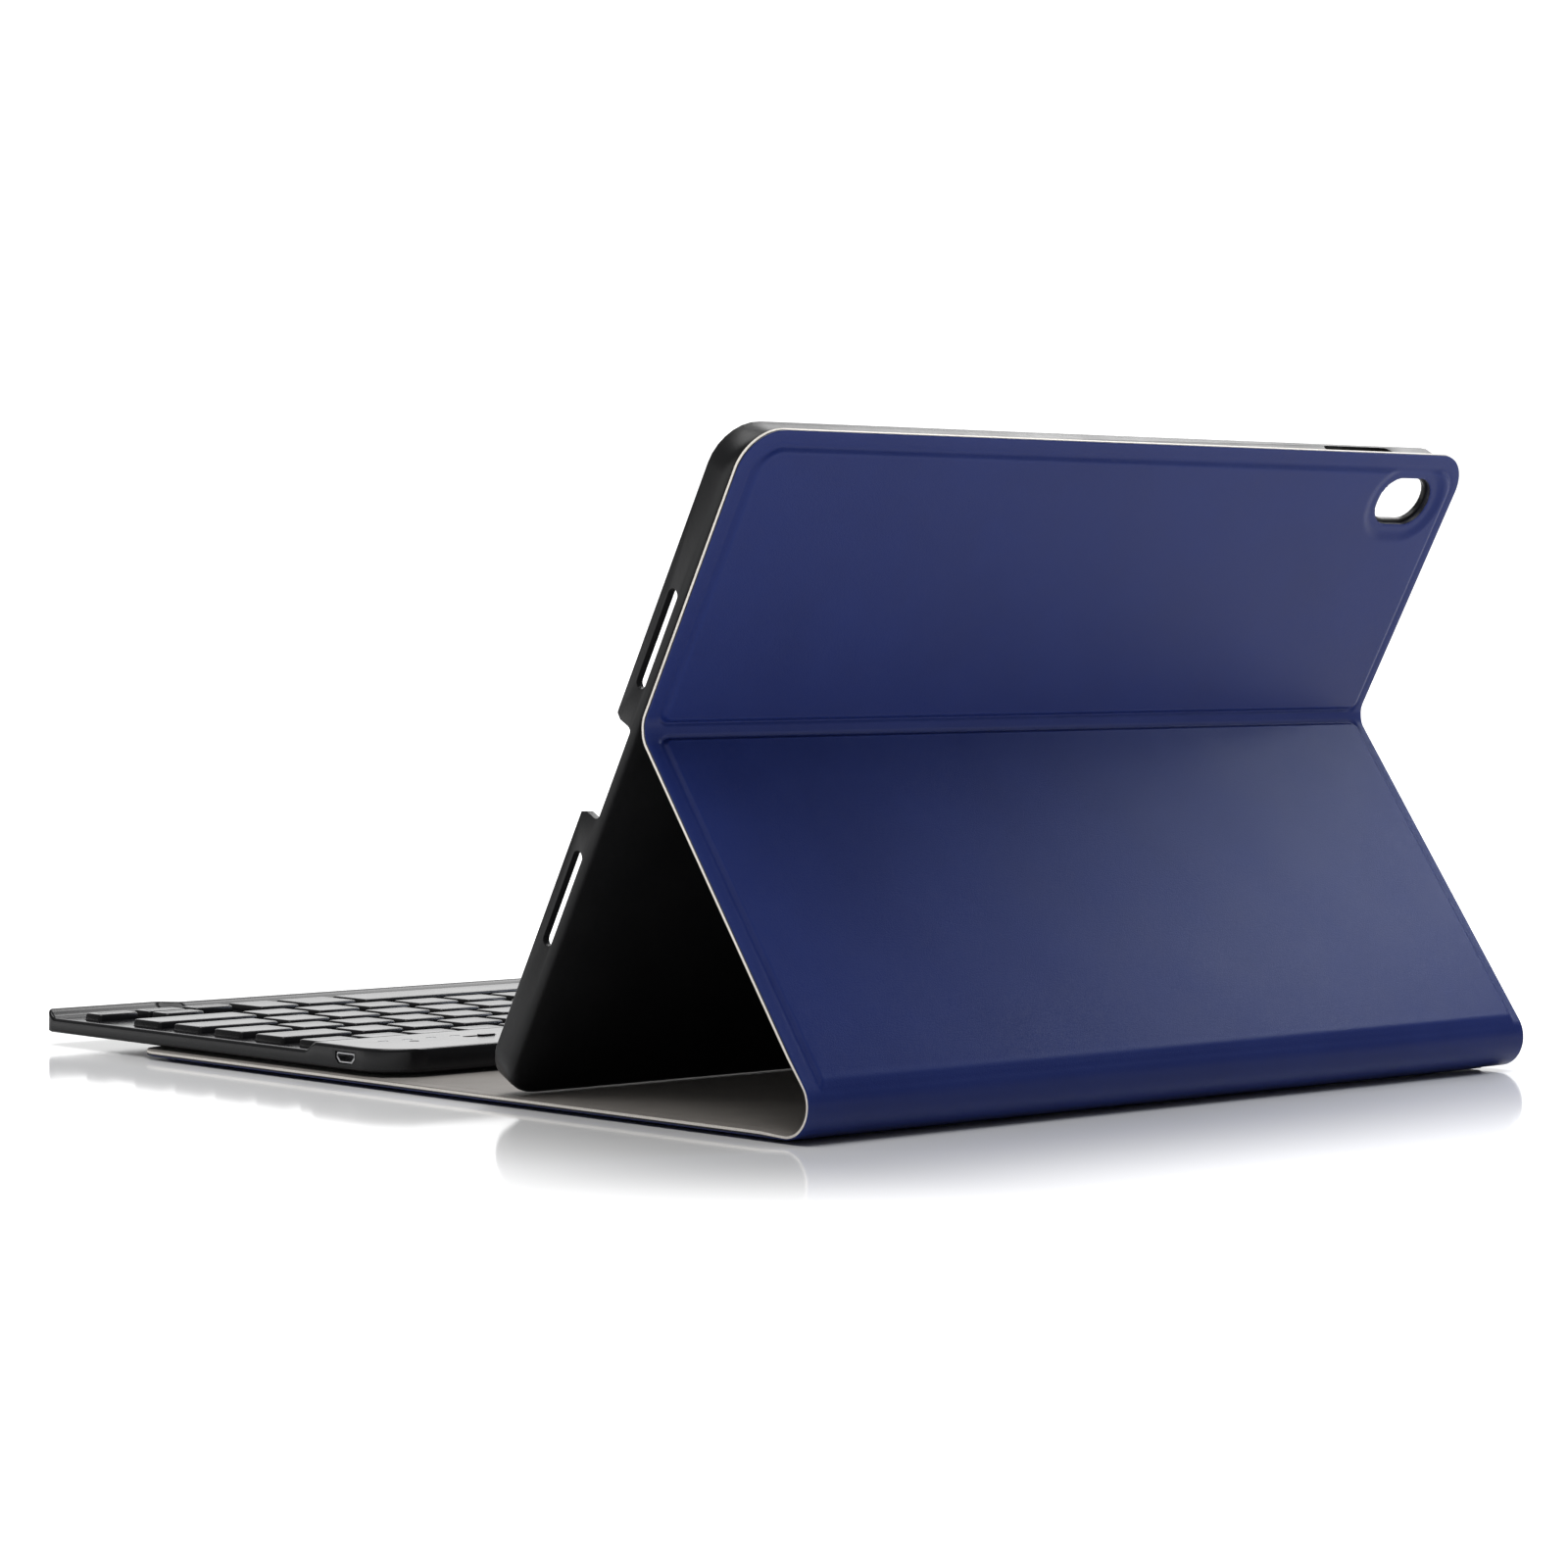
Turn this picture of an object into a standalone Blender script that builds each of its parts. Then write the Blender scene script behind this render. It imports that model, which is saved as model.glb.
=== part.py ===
"""Tablet keyboard case: folio cover with a stand flap, a hard tablet shell and a lift-off keyboard."""

import math

import bmesh
import bpy
from mathutils import Vector

MM = 0.001

# ---- standing pose: side profile in the Y-Z plane, millimetres ----
CREASE = (96.75, 91.47)          # inner surface of the upper panel, level with the crease strip
SHELL_TILT = math.radians(61.14)  # upper panel and shell, measured from the table
FLAP_TILT = math.radians(125.53)  # stand flap, measured from the table, leaning forward
STRIP_LENGTH = 4.7               # crease strip between its two grooves
GROOVE_ABOVE = 2.2               # upper groove above the crease centre
COVER_HALF = 126.5               # half width of every leather panel
COVER_FRONT = -109.45            # free front edge of the front cover
UPPER_TOP = 78.4                 # top edge of the upper panel, from the crease centre

# ---- folio sheet, measured outward from the lining's inner face ----
LINING = (0.0, 0.5)
BORDER = (0.6, 1.5)
BOARD = (0.6, 1.6)
PAD_OUT = 2.3
PAD_SKIN = 0.6
PAD_MARGIN = 7.5
CORNER_R = 10.5

# ---- spine bend ----
BEND_HEIGHT = 8.7                # bend centre above the table
BEND_INNER = 6.4                 # lining face radius
BEND_OUTER = 7.9
STRIP_SKIN = 1.0

# ---- tablet shell ----
SHELL_HALF = 127.4
SHELL_TOP = 76.3                 # along the panel, from the crease centre
SHELL_BOTTOM = -102.4
SHELL_BACK = 0.1                 # gap between cover and shell
SHELL_DEPTH = 7.6
SHELL_FLOOR = 1.2
SHELL_WALL = 1.9
SHELL_R = 11.0
SHELL_EDGE_R = 2.2
SHELL_MID = (SHELL_TOP + SHELL_BOTTOM) / 2

# ---- camera opening, a slot with round ends ----
CAMERA_X = -107.0
CAMERA_S = 64.9
CAMERA_HALF_X = 9.3
CAMERA_HALF_S = 6.0
CAMERA_STEP = 3.4                # width of the sunk border round the opening

# ---- keyboard ----
KB_HALF = 124.2
KB_REAR = -0.25
KB_FRONT = -155.25
KB_NOTCH = 5.0
KB_NOTCH_HALF = 84.0
KB_BOTTOM = 3.4
KB_DECK = 7.3
KB_TOP = 9.5
KB_REAR_R = 12.0
KB_FRONT_R = 4.0
STRIP_EDGE = -31.7               # front edge of the raised rear strip
KEY_TOP = 9.1
KEY_WEB = (6.0, 6.5)
KEY_PITCH = 16.3
KEY_WIDE = 13.6
KEYS_RIGHT = 120.2
INDICATORS = (110.0, 102.3, 94.7, 87.0)
INDICATOR_Y = -21.5
SWITCH_X = 82.0
SWITCH_Y = -17.5
DOT = (103.5, -17.0)
USB_Y = -18.65
USB_Z = 6.45
MAGNETS = (("right", 24.0, 52.0), ("left", -84.0, -56.0))
MAGNET_Y = (-28.0, -8.0)
ROWS = {
    "function": (-34.9, -44.0),
    "number": (-50.5, -63.2),
    "upper": (-68.8, -81.4),
    "home": (-87.1, -99.7),
    "lower": (-105.6, -118.2),
    "bottom": (-125.1, -141.3),
}

COLOURS = {
    "blue_leather": ((0.018, 0.035, 0.150), 0.48, 0.0),
    "greyboard": ((0.30, 0.27, 0.23), 0.9, 0.0),
    "microfibre": ((0.48, 0.45, 0.41), 0.95, 0.0),
    "black_shell": ((0.012, 0.012, 0.013), 0.5, 0.0),
    "black_deck": ((0.014, 0.014, 0.016), 0.32, 0.0),
    "black_key": ((0.010, 0.010, 0.011), 0.38, 0.0),
    "steel": ((0.55, 0.55, 0.56), 0.3, 1.0),
    "magnet": ((0.42, 0.42, 0.44), 0.35, 1.0),
    "membrane": ((0.55, 0.58, 0.56), 0.5, 0.0),
    "board_green": ((0.02, 0.14, 0.06), 0.45, 0.0),
    "battery_foil": ((0.50, 0.51, 0.53), 0.35, 0.0),
    "clear_plastic": ((0.65, 0.68, 0.70), 0.15, 0.0),
    "foot_rubber": ((0.03, 0.03, 0.03), 0.9, 0.0),
}

materials = {}
cutters = []


def clear_scene():
    for old in list(bpy.data.objects):
        bpy.data.objects.remove(old, do_unlink=True)


def material(name):
    if name not in materials:
        colour, rough, metal = COLOURS[name]
        made = bpy.data.materials.new(name)
        made.use_nodes = True
        shader = made.node_tree.nodes["Principled BSDF"]
        shader.inputs["Base Color"].default_value = (*colour, 1.0)
        shader.inputs["Roughness"].default_value = rough
        shader.inputs["Metallic"].default_value = metal
        made.diffuse_color = (*colour, 1.0)
        materials[name] = made
    return materials[name]


class Plane:
    """A local frame: x stays across, s runs along the sheet, w points outward."""

    def __init__(self, origin, along, outward):
        self.origin = origin
        self.along = along
        self.outward = outward

    def point(self, x, s, w):
        y = self.origin[0] + self.along[0] * s + self.outward[0] * w
        z = self.origin[1] + self.along[1] * s + self.outward[1] * w
        return Vector((x * MM, y * MM, z * MM))


def direction(angle):
    return (math.cos(angle), math.sin(angle))


def offset(point, vector, length):
    return (point[0] + vector[0] * length, point[1] + vector[1] * length)


LEVEL = Plane((0.0, 0.0), (1.0, 0.0), (0.0, 1.0))
UP_DIR = direction(SHELL_TILT)
UP_OUT = (UP_DIR[1], -UP_DIR[0])
FLAP_DIR = direction(FLAP_TILT)
FLAP_OUT = (FLAP_DIR[1], -FLAP_DIR[0])
STRIP_DIR = direction((SHELL_TILT + FLAP_TILT) / 2)
STRIP_OUT = (STRIP_DIR[1], -STRIP_DIR[0])
GROOVE_UP = offset(CREASE, UP_DIR, GROOVE_ABOVE)
GROOVE_DOWN = offset(GROOVE_UP, STRIP_DIR, -STRIP_LENGTH)
FLAP_LENGTH = (GROOVE_DOWN[1] - BEND_INNER * FLAP_OUT[1] - BEND_HEIGHT) / FLAP_DIR[1]
FLAP_FOOT = offset(GROOVE_DOWN, FLAP_DIR, -FLAP_LENGTH)
BEND = offset(FLAP_FOOT, FLAP_OUT, -BEND_INNER)
BEND_TURN = FLAP_TILT / 3
UPPER = Plane(CREASE, UP_DIR, UP_OUT)
STRIP = Plane(GROOVE_DOWN, STRIP_DIR, STRIP_OUT)
FLAP = Plane(FLAP_FOOT, FLAP_DIR, FLAP_OUT)
FRONT = Plane((BEND[0], PAD_OUT), (-1.0, 0.0), (0.0, -1.0))


def bend_point(angle, radius):
    return (BEND[0] + radius * math.sin(angle), BEND[1] - radius * math.cos(angle))


SPINE_PINS = [bend_point(BEND_TURN * (i + 0.5), BEND_OUTER) for i in range(3)]
PIVOTS = {
    "front_cover": (0.0, 0.0),
    "spine_lower": SPINE_PINS[0],
    "spine_upper": SPINE_PINS[1],
    "stand_flap": SPINE_PINS[2],
    "crease": GROOVE_DOWN,
    "shell": GROOVE_UP,
}


def finish(name, mesh_builder, slot, pivot, smooth=True):
    """Turn a bmesh into a named object whose origin sits on its joint axis."""
    origin = Vector((pivot[0] * MM, pivot[1] * MM, pivot[2] * MM))
    bmesh.ops.recalc_face_normals(mesh_builder, faces=mesh_builder.faces[:])
    bmesh.ops.translate(mesh_builder, vec=-origin, verts=mesh_builder.verts[:])
    mesh = bpy.data.meshes.new(name)
    mesh_builder.to_mesh(mesh)
    mesh_builder.free()
    made = bpy.data.objects.new(name, mesh)
    made.location = origin
    bpy.context.scene.collection.objects.link(made)
    mesh.materials.append(material(slot))
    if smooth:
        mesh.shade_smooth()
        mesh.set_sharp_from_angle(angle=math.radians(30))
    return made


def body_pivot(body):
    y, z = PIVOTS[body]
    return (0.0, y, z)


def fillet(corners, steps=6):
    """Outline from corners (x, s, radius); each corner becomes an arc."""
    outline = []
    count = len(corners)
    for i in range(count):
        x, s, radius = corners[i]
        here = Vector((x, s))
        before = Vector(corners[i - 1][:2])
        after = Vector(corners[(i + 1) % count][:2])
        if radius <= 0.0:
            outline.append((x, s))
            continue
        a = (before - here).normalized()
        b = (after - here).normalized()
        half = a.angle(b) / 2
        reach = radius / math.tan(half)
        centre = here + (a + b).normalized() * (radius / math.sin(half))
        start = here + a * reach - centre
        turn = (here + b * reach - centre).angle_signed(start)
        for k in range(steps + 1):
            swing = turn * k / steps
            c, d = math.cos(swing), math.sin(swing)
            outline.append((centre.x + start.x * c - start.y * d, centre.y + start.x * d + start.y * c))
    return outline


def rectangle(x0, x1, s0, s1, radii=(0.0, 0.0, 0.0, 0.0), steps=6):
    """Radii in the order low-low, high-low, high-high, low-high."""
    corners = [
        (x0, s0, radii[0]),
        (x1, s0, radii[1]),
        (x1, s1, radii[2]),
        (x0, s1, radii[3]),
    ]
    return fillet(corners, steps)


def loft(plane, rings):
    """Closed solid from rings (outline, w); every outline has the same point count."""
    shape = bmesh.new()
    loops = []
    for outline, w in rings:
        loops.append([shape.verts.new(plane.point(x, s, w)) for x, s in outline])
    count = len(loops[0])
    for low, high in zip(loops, loops[1:]):
        for i in range(count):
            j = (i + 1) % count
            shape.faces.new((low[i], low[j], high[j], high[i]))
    shape.faces.new(loops[0])
    shape.faces.new(loops[-1])
    return shape


def prism(name, plane, outline, low, high, slot, pivot, smooth=True):
    return finish(name, loft(plane, [(outline, low), (outline, high)]), slot, pivot, smooth)


def cutter(shape, name):
    made = finish(name, shape, "black_shell", (0.0, 0.0, 0.0), smooth=False)
    made.hide_render = True
    made.display_type = "WIRE"
    cutters.append(made)
    return made


def cut(target, tool, operation="DIFFERENCE"):
    step = target.modifiers.new(operation.lower(), "BOOLEAN")
    step.operation = operation
    step.solver = "EXACT"
    step.object = tool


def combine(shapes):
    """Put several closed shapes into one bmesh."""
    whole = bmesh.new()
    for shape in shapes:
        spare = bpy.data.meshes.new("spare")
        shape.to_mesh(spare)
        shape.free()
        whole.from_mesh(spare)
        bpy.data.meshes.remove(spare)
    bmesh.ops.recalc_face_normals(whole, faces=whole.faces[:])
    return whole


# ---------------------------------------------------------------- folio panels

def folio_panel(name, plane, body, low, high, far_corner, pad_low, pad_high, names):
    """Leather skin with a raised pad, a stiffener board in its pocket and a lining sheet."""
    leather_name, board_name, lining_name = names
    pivot = body_pivot(body)
    radii = (0.0, 0.0, far_corner, far_corner)
    edge = rectangle(-COVER_HALF, COVER_HALF, low, high, radii)
    pad_half = COVER_HALF - PAD_MARGIN
    pad_r = (1.5, 1.5, max(far_corner - 5.0, 1.5), max(far_corner - 5.0, 1.5))
    pad_foot = rectangle(-pad_half, pad_half, pad_low, pad_high, pad_r)
    pad_top = rectangle(-pad_half + 0.6, pad_half - 0.6, pad_low + 0.6, pad_high - 0.6, pad_r)
    pocket = rectangle(-pad_half + 0.9, pad_half - 0.9, pad_low + 0.9, pad_high - 0.9, pad_r)
    inner = rectangle(-pad_half + 1.1, pad_half - 1.1, pad_low + 1.1, pad_high - 1.1, pad_r)
    leather = prism(leather_name, plane, edge, BORDER[0], BORDER[1], "blue_leather", pivot)
    rings = [(pad_foot, BORDER[0] + 0.2), (pad_foot, PAD_OUT - 0.4), (pad_top, PAD_OUT)]
    cut(leather, cutter(loft(plane, rings), name + "_pad"), "UNION")
    rings = [(pocket, BORDER[0] - 0.5), (pocket, PAD_OUT - PAD_SKIN)]
    cut(leather, cutter(loft(plane, rings), name + "_pocket"))
    board = prism(board_name, plane, inner, BOARD[0], BOARD[1], "greyboard", pivot)
    sheet = rectangle(-COVER_HALF, COVER_HALF, low, high, radii)
    lining = prism(lining_name, plane, sheet, LINING[0], LINING[1], "microfibre", pivot)
    return leather, board, lining


def stadium(cx, cs, half_x, half_s, steps=8):
    corners = (half_s - 0.01,) * 4
    return rectangle(cx - half_x, cx + half_x, cs - half_s, cs + half_s, corners, steps)


def camera_slot(grow):
    return stadium(CAMERA_X, CAMERA_S, CAMERA_HALF_X + grow, CAMERA_HALF_S + grow)


def bend_strip(name, start, end, body):
    """One flexible slice of the rounded spine, as an annular sector."""
    shape = bmesh.new()
    rings = []
    gap = 0.11 / BEND_OUTER
    for k in range(5):
        angle = start + gap + (end - start - 2 * gap) * k / 4
        row = []
        for radius in (BEND_OUTER - STRIP_SKIN, BEND_OUTER):
            y, z = bend_point(angle, radius)
            for x in (-COVER_HALF, COVER_HALF):
                row.append(shape.verts.new(Vector((x * MM, y * MM, z * MM))))
        rings.append(row)
    order = (0, 1, 3, 2)
    for a, b in zip(rings, rings[1:]):
        for i in range(4):
            p, q = order[i], order[(i + 1) % 4]
            shape.faces.new((a[p], a[q], b[q], b[p]))
    shape.faces.new([rings[0][i] for i in order])
    shape.faces.new([rings[-1][i] for i in order])
    return finish(name, shape, "blue_leather", body_pivot(body))


def build_folio():
    top = UPPER_TOP
    upper = folio_panel(
        "upper", UPPER, "shell", GROOVE_ABOVE + 0.5, top, CORNER_R,
        GROOVE_ABOVE + 1.0, top - PAD_MARGIN,
        ("upper_back_leather", "upper_back_board", "shell_bonding_sheet"),
    )
    folio_panel(
        "flap", FLAP, "stand_flap", 0.15, FLAP_LENGTH - 0.5, 0.0,
        1.4, FLAP_LENGTH - 1.0,
        ("stand_flap_leather", "stand_flap_board", "stand_flap_lining"),
    )
    reach = BEND[0] - COVER_FRONT
    board = folio_panel(
        "front", FRONT, "front_cover", 0.15, reach, CORNER_R,
        1.4, reach - PAD_MARGIN,
        ("front_cover_leather", "front_cover_board", "front_cover_lining"),
    )[1]
    camera = camera_slot(0.8)
    hole = cutter(loft(UPPER, [(camera, -1.0), (camera, 4.0)]), "camera_hole_cover")
    step = camera_slot(0.8 + CAMERA_STEP)
    collar = cutter(loft(UPPER, [(step, BORDER[0]), (step, PAD_OUT - 0.3)]), "camera_collar")
    sink = cutter(loft(UPPER, [(step, BORDER[1]), (step, 4.0)]), "camera_sink")
    clear = camera_slot(0.8 + CAMERA_STEP + 0.4)
    cut(upper[0], collar, "UNION")
    cut(upper[0], sink)
    cut(upper[1], cutter(loft(UPPER, [(clear, 0.0), (clear, 4.0)]), "camera_board"))
    for piece in (upper[0], upper[2]):
        cut(piece, hole)
    crease = rectangle(-COVER_HALF, COVER_HALF, 0.5, STRIP_LENGTH - 0.5)
    prism("crease_strip", STRIP, crease, 0.0, BORDER[1], "blue_leather", body_pivot("crease"))
    half = BEND_TURN / 2
    bend_strip("spine_root_strip", 0.0, half, "front_cover")
    bend_strip("spine_lower_strip", half, half + BEND_TURN, "spine_lower")
    bend_strip("spine_upper_strip", half + BEND_TURN, half + 2 * BEND_TURN, "spine_upper")
    bend_strip("spine_flap_strip", half + 2 * BEND_TURN, FLAP_TILT, "stand_flap")
    # two steel plates under the lining catch the keyboard's magnets
    near, far = FRONT.origin[0] - MAGNET_Y[1], FRONT.origin[0] - MAGNET_Y[0]
    for label, x0, x1 in MAGNETS:
        slot = rectangle(x0 - 0.3, x1 + 0.3, near - 0.3, far + 0.3)
        cut(board, cutter(loft(FRONT, [(slot, 0.0), (slot, 3.0)]), "plate_slot_" + label))
        plate = rectangle(x0, x1, near, far)
        prism("cover_plate_" + label, FRONT, plate, 0.7, 1.5, "steel", body_pivot("front_cover"))


# ---------------------------------------------------------------- tablet shell

def shell_ring(inset, depth):
    radius = max(SHELL_R - inset, 1.0)
    outline = rectangle(
        -SHELL_HALF + inset, SHELL_HALF - inset, SHELL_BOTTOM + inset, SHELL_TOP - inset, (radius,) * 4, 7
    )
    return outline, -(SHELL_BACK + depth)


def side_hole(sign, s0, s1, d0, d1, radius):
    """Slot through a short side wall, drawn in the wall's own plane."""
    corners = rectangle(s0, s1, d0, d1, (radius,) * 4, 4)
    shape = bmesh.new()
    loops = []
    for x in (sign * (SHELL_HALF - 3.2), sign * (SHELL_HALF + 2.0)):
        loops.append([shape.verts.new(UPPER.point(x, s, -(SHELL_BACK + d))) for s, d in corners])
    count = len(corners)
    for i in range(count):
        j = (i + 1) % count
        shape.faces.new((loops[0][i], loops[0][j], loops[1][j], loops[1][i]))
    shape.faces.new(loops[0])
    shape.faces.new(loops[1])
    return shape


def top_hole(x0, x1, d0, d1, radius):
    """Slot through the long top wall."""
    corners = rectangle(x0, x1, d0, d1, (radius,) * 4, 4)
    shape = bmesh.new()
    loops = []
    for s in (SHELL_TOP - 3.4, SHELL_TOP + 2.0):
        loops.append([shape.verts.new(UPPER.point(x, s, -(SHELL_BACK + d))) for x, d in corners])
    count = len(corners)
    for i in range(count):
        j = (i + 1) % count
        shape.faces.new((loops[0][i], loops[0][j], loops[1][j], loops[1][i]))
    shape.faces.new(loops[0])
    shape.faces.new(loops[1])
    return shape


def build_shell():
    rings = []
    for k in range(5):
        swing = math.pi / 2 * k / 4
        inset, depth = 1 - math.sin(swing), 1 - math.cos(swing)
        rings.append(shell_ring(SHELL_EDGE_R * inset, SHELL_EDGE_R * depth))
    rings.append(shell_ring(0.0, SHELL_DEPTH - 0.5))
    rings.append(shell_ring(0.35, SHELL_DEPTH))
    rings.append(shell_ring(SHELL_WALL - 0.2, SHELL_DEPTH))
    rings.append(shell_ring(SHELL_WALL, SHELL_DEPTH - 0.3))
    rings.append(shell_ring(SHELL_WALL, SHELL_FLOOR))
    shell = finish("tablet_shell", loft(UPPER, rings), "black_shell", body_pivot("shell"))
    mid = SHELL_MID
    holes = [
        side_hole(1, mid + 22.0, mid + 48.0, 1.7, 4.9, 1.55),
        side_hole(1, mid - 48.0, mid - 22.0, 1.7, 4.9, 1.55),
        side_hole(-1, mid + 22.0, mid + 48.0, 1.7, 4.9, 1.55),
        side_hole(-1, mid - 48.0, mid - 22.0, 1.7, 4.9, 1.55),
        side_hole(-1, mid - 80.0, mid - 74.0, 1.8, 6.6, 2.3),
        side_hole(-1, mid + 66.0, mid + 80.0, 1.9, 6.3, 2.1),
        top_hole(-102.0, -76.0, 2.0, 6.2, 2.0),
    ]
    cut(shell, cutter(combine(holes), "shell_slots"))
    notch = fillet(
        [(mid - 12.4, 1.3, 1.2), (mid + 12.4, 1.3, 1.2), (mid + 12.4, 5.6, 0.0),
         (mid + 14.4, 9.0, 0.0), (mid - 14.4, 9.0, 0.0), (mid - 12.4, 5.6, 0.0)], 4
    )
    shape = bmesh.new()
    loops = []
    for x in (SHELL_HALF - 3.2, SHELL_HALF + 2.0):
        loops.append([shape.verts.new(UPPER.point(x, s, -(SHELL_BACK + d))) for s, d in notch])
    for i in range(len(notch)):
        j = (i + 1) % len(notch)
        shape.faces.new((loops[0][i], loops[0][j], loops[1][j], loops[1][i]))
    shape.faces.new(loops[0])
    shape.faces.new(loops[1])
    cut(shell, cutter(shape, "port_notch"))
    camera = stadium(CAMERA_X, CAMERA_S, CAMERA_HALF_X, CAMERA_HALF_S)
    cut(shell, cutter(loft(UPPER, [(camera, -3.0), (camera, 1.0)]), "camera_hole_shell"))
    return shell


# ---------------------------------------------------------------- keyboard

def kb_outline(inset=0.0, notch=True):
    half = KB_HALF - inset
    rear = KB_REAR - inset
    front = KB_FRONT + inset
    rear_r = max(KB_REAR_R - inset, 1.0)
    front_r = max(KB_FRONT_R - inset, 0.5)
    nx = KB_NOTCH_HALF - inset * 0.4
    corners = [
        (half, rear, rear_r), (-half, rear, rear_r), (-half, front, front_r),
        (-nx - KB_NOTCH, front, 2.0), (-nx, front + KB_NOTCH, 2.0),
        (nx, front + KB_NOTCH, 2.0), (nx + KB_NOTCH, front, 2.0), (half, front, front_r),
    ]
    return fillet(corners, 5)


def key_well():
    """The lower key deck: a trough with sloped ends that runs out past both sides."""
    rings = []
    for z, rear, lip in ((KB_DECK, STRIP_EDGE - 3.6, 5.2), (KB_TOP + 1.0, STRIP_EDGE + 1.4, 0.4)):
        far = KB_HALF + 6.0
        front = KB_FRONT + lip
        nx = KB_NOTCH_HALF - lip * 0.4
        outline = [
            (far, rear), (-far, rear), (-far, front), (-nx - KB_NOTCH, front),
            (-nx, front + KB_NOTCH), (nx, front + KB_NOTCH), (nx + KB_NOTCH, front), (far, front),
        ]
        rings.append((outline, z))
    return loft(LEVEL, rings)


def key_box(x0, x1, y0, y1, low, high, taper=0.45, bevel=0.35):
    """A key cap: slightly tapered block with softened top edges."""
    shape = bmesh.new()
    base = [(x0, y0), (x1, y0), (x1, y1), (x0, y1)]
    left, right, front, rear = x0 + taper, x1 - taper, y0 + taper, y1 - taper
    crown = [(left, front), (right, front), (right, rear), (left, rear)]
    lower = [shape.verts.new(LEVEL.point(x, y, low)) for x, y in base]
    upper = [shape.verts.new(LEVEL.point(x, y, high)) for x, y in crown]
    for i in range(4):
        j = (i + 1) % 4
        shape.faces.new((lower[i], lower[j], upper[j], upper[i]))
    shape.faces.new(lower)
    roof = shape.faces.new(upper)
    bmesh.ops.recalc_face_normals(shape, faces=shape.faces[:])
    bmesh.ops.bevel(shape, geom=list(roof.edges), offset=bevel * MM, segments=1, affect="EDGES")
    return shape


def row_keys(row, right, widths, gap=KEY_PITCH - KEY_WIDE):
    """Key rectangles from the right end of a row towards the left."""
    rear, front = ROWS[row]
    keys = []
    x = right
    for wide in widths:
        keys.append((x - wide, x, front, rear))
        x -= wide + gap
    return keys


def fill_row(row, right_wide, count, left_wide):
    """A row of equal keys between two wider end keys, filling the full key field."""
    gap = KEY_PITCH - KEY_WIDE
    span = 2 * KEYS_RIGHT - right_wide - left_wide - gap * (count + 1)
    return row_keys(row, KEYS_RIGHT, [right_wide] + [span / count] * count + [left_wide])


def key_table():
    """All key rectangles grouped by the body that carries them."""
    table = {}
    table["function_row_keys"] = fill_row("function", KEY_WIDE, 13, KEY_WIDE)
    number = fill_row("number", 23.0, 12, KEY_WIDE)
    table["backspace_key"] = number[:1]
    table["number_row_keys"] = number[1:]
    upper = fill_row("upper", 17.5, 12, 19.0)
    table["tab_key"] = upper[-1:]
    table["upper_letter_keys"] = upper[:-1]
    home = fill_row("home", 26.0, 11, 23.5)
    table["enter_key"] = home[:1]
    table["caps_lock_key"] = home[-1:]
    table["home_letter_keys"] = home[1:-1]
    lower = fill_row("lower", 32.5, 10, 32.0)
    table["right_shift_key"] = lower[:1]
    table["left_shift_key"] = lower[-1:]
    table["lower_letter_keys"] = lower[1:-1]
    rear, front = ROWS["bottom"]
    middle = (rear + front) / 2
    arrows = row_keys("bottom", KEYS_RIGHT, [13.0, 13.0, 13.0], 2.7)
    right, centre, left = arrows
    table["right_arrow_key"] = [(right[0], right[1], front, middle - 0.5)]
    table["down_arrow_key"] = [(centre[0], centre[1], front, middle - 0.5)]
    table["up_arrow_key"] = [(centre[0], centre[1], middle + 0.5, rear)]
    table["left_arrow_key"] = [(left[0], left[1], front, middle - 0.5)]
    rest = left[0] - 2.7
    widths = [KEY_WIDE, 17.0, 0.0, 17.0, KEY_WIDE, KEY_WIDE, KEY_WIDE]
    widths[2] = rest + KEYS_RIGHT - sum(widths) - 2.7 * (len(widths) - 1)
    names = ("right_option_key", "right_command_key", "space_bar", "left_command_key",
             "left_option_key", "control_key", "globe_key")
    for name, key in zip(names, row_keys("bottom", rest, widths, 2.7)):
        table[name] = [key]
    return table


def build_keys():
    """One body per named key; each row's ordinary keys share a web under the deck."""
    for name, keys in key_table().items():
        x0 = min(k[0] for k in keys)
        x1 = max(k[1] for k in keys)
        y0 = min(k[2] for k in keys)
        y1 = max(k[3] for k in keys)
        pivot = ((x0 + x1) / 2, (y0 + y1) / 2, KEY_WEB[0])
        lip = 0.5 if name.endswith("arrow_key") else 1.0
        web = rectangle(x0 - lip, x1 + lip, y0 - lip, y1 + lip)
        if name in ("up_arrow_key", "down_arrow_key"):
            web = rectangle(x0 - lip, x1 + lip, y0 - 0.2, y1 + 0.2)
        made = prism(name, LEVEL, web, KEY_WEB[0], KEY_WEB[1], "black_key", pivot, smooth=False)
        caps = [key_box(*key, KEY_WEB[0] + 0.2, KEY_TOP) for key in keys]
        cut(made, cutter(combine(caps), name + "_caps"), "UNION")


def opening_blocks():
    """Deck openings, one per key, with clearance all round; the arrow pair shares one."""
    blocks = []
    for name, keys in key_table().items():
        if name == "up_arrow_key":
            continue
        for x0, x1, y0, y1 in keys:
            if name == "down_arrow_key":
                y1 = ROWS["bottom"][0]
            hole = rectangle(x0 - 0.3, x1 + 0.3, y0 - 0.3, y1 + 0.3)
            blocks.append(loft(LEVEL, [(hole, 5.0), (hole, KB_TOP + 1.5)]))
    return blocks


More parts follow.
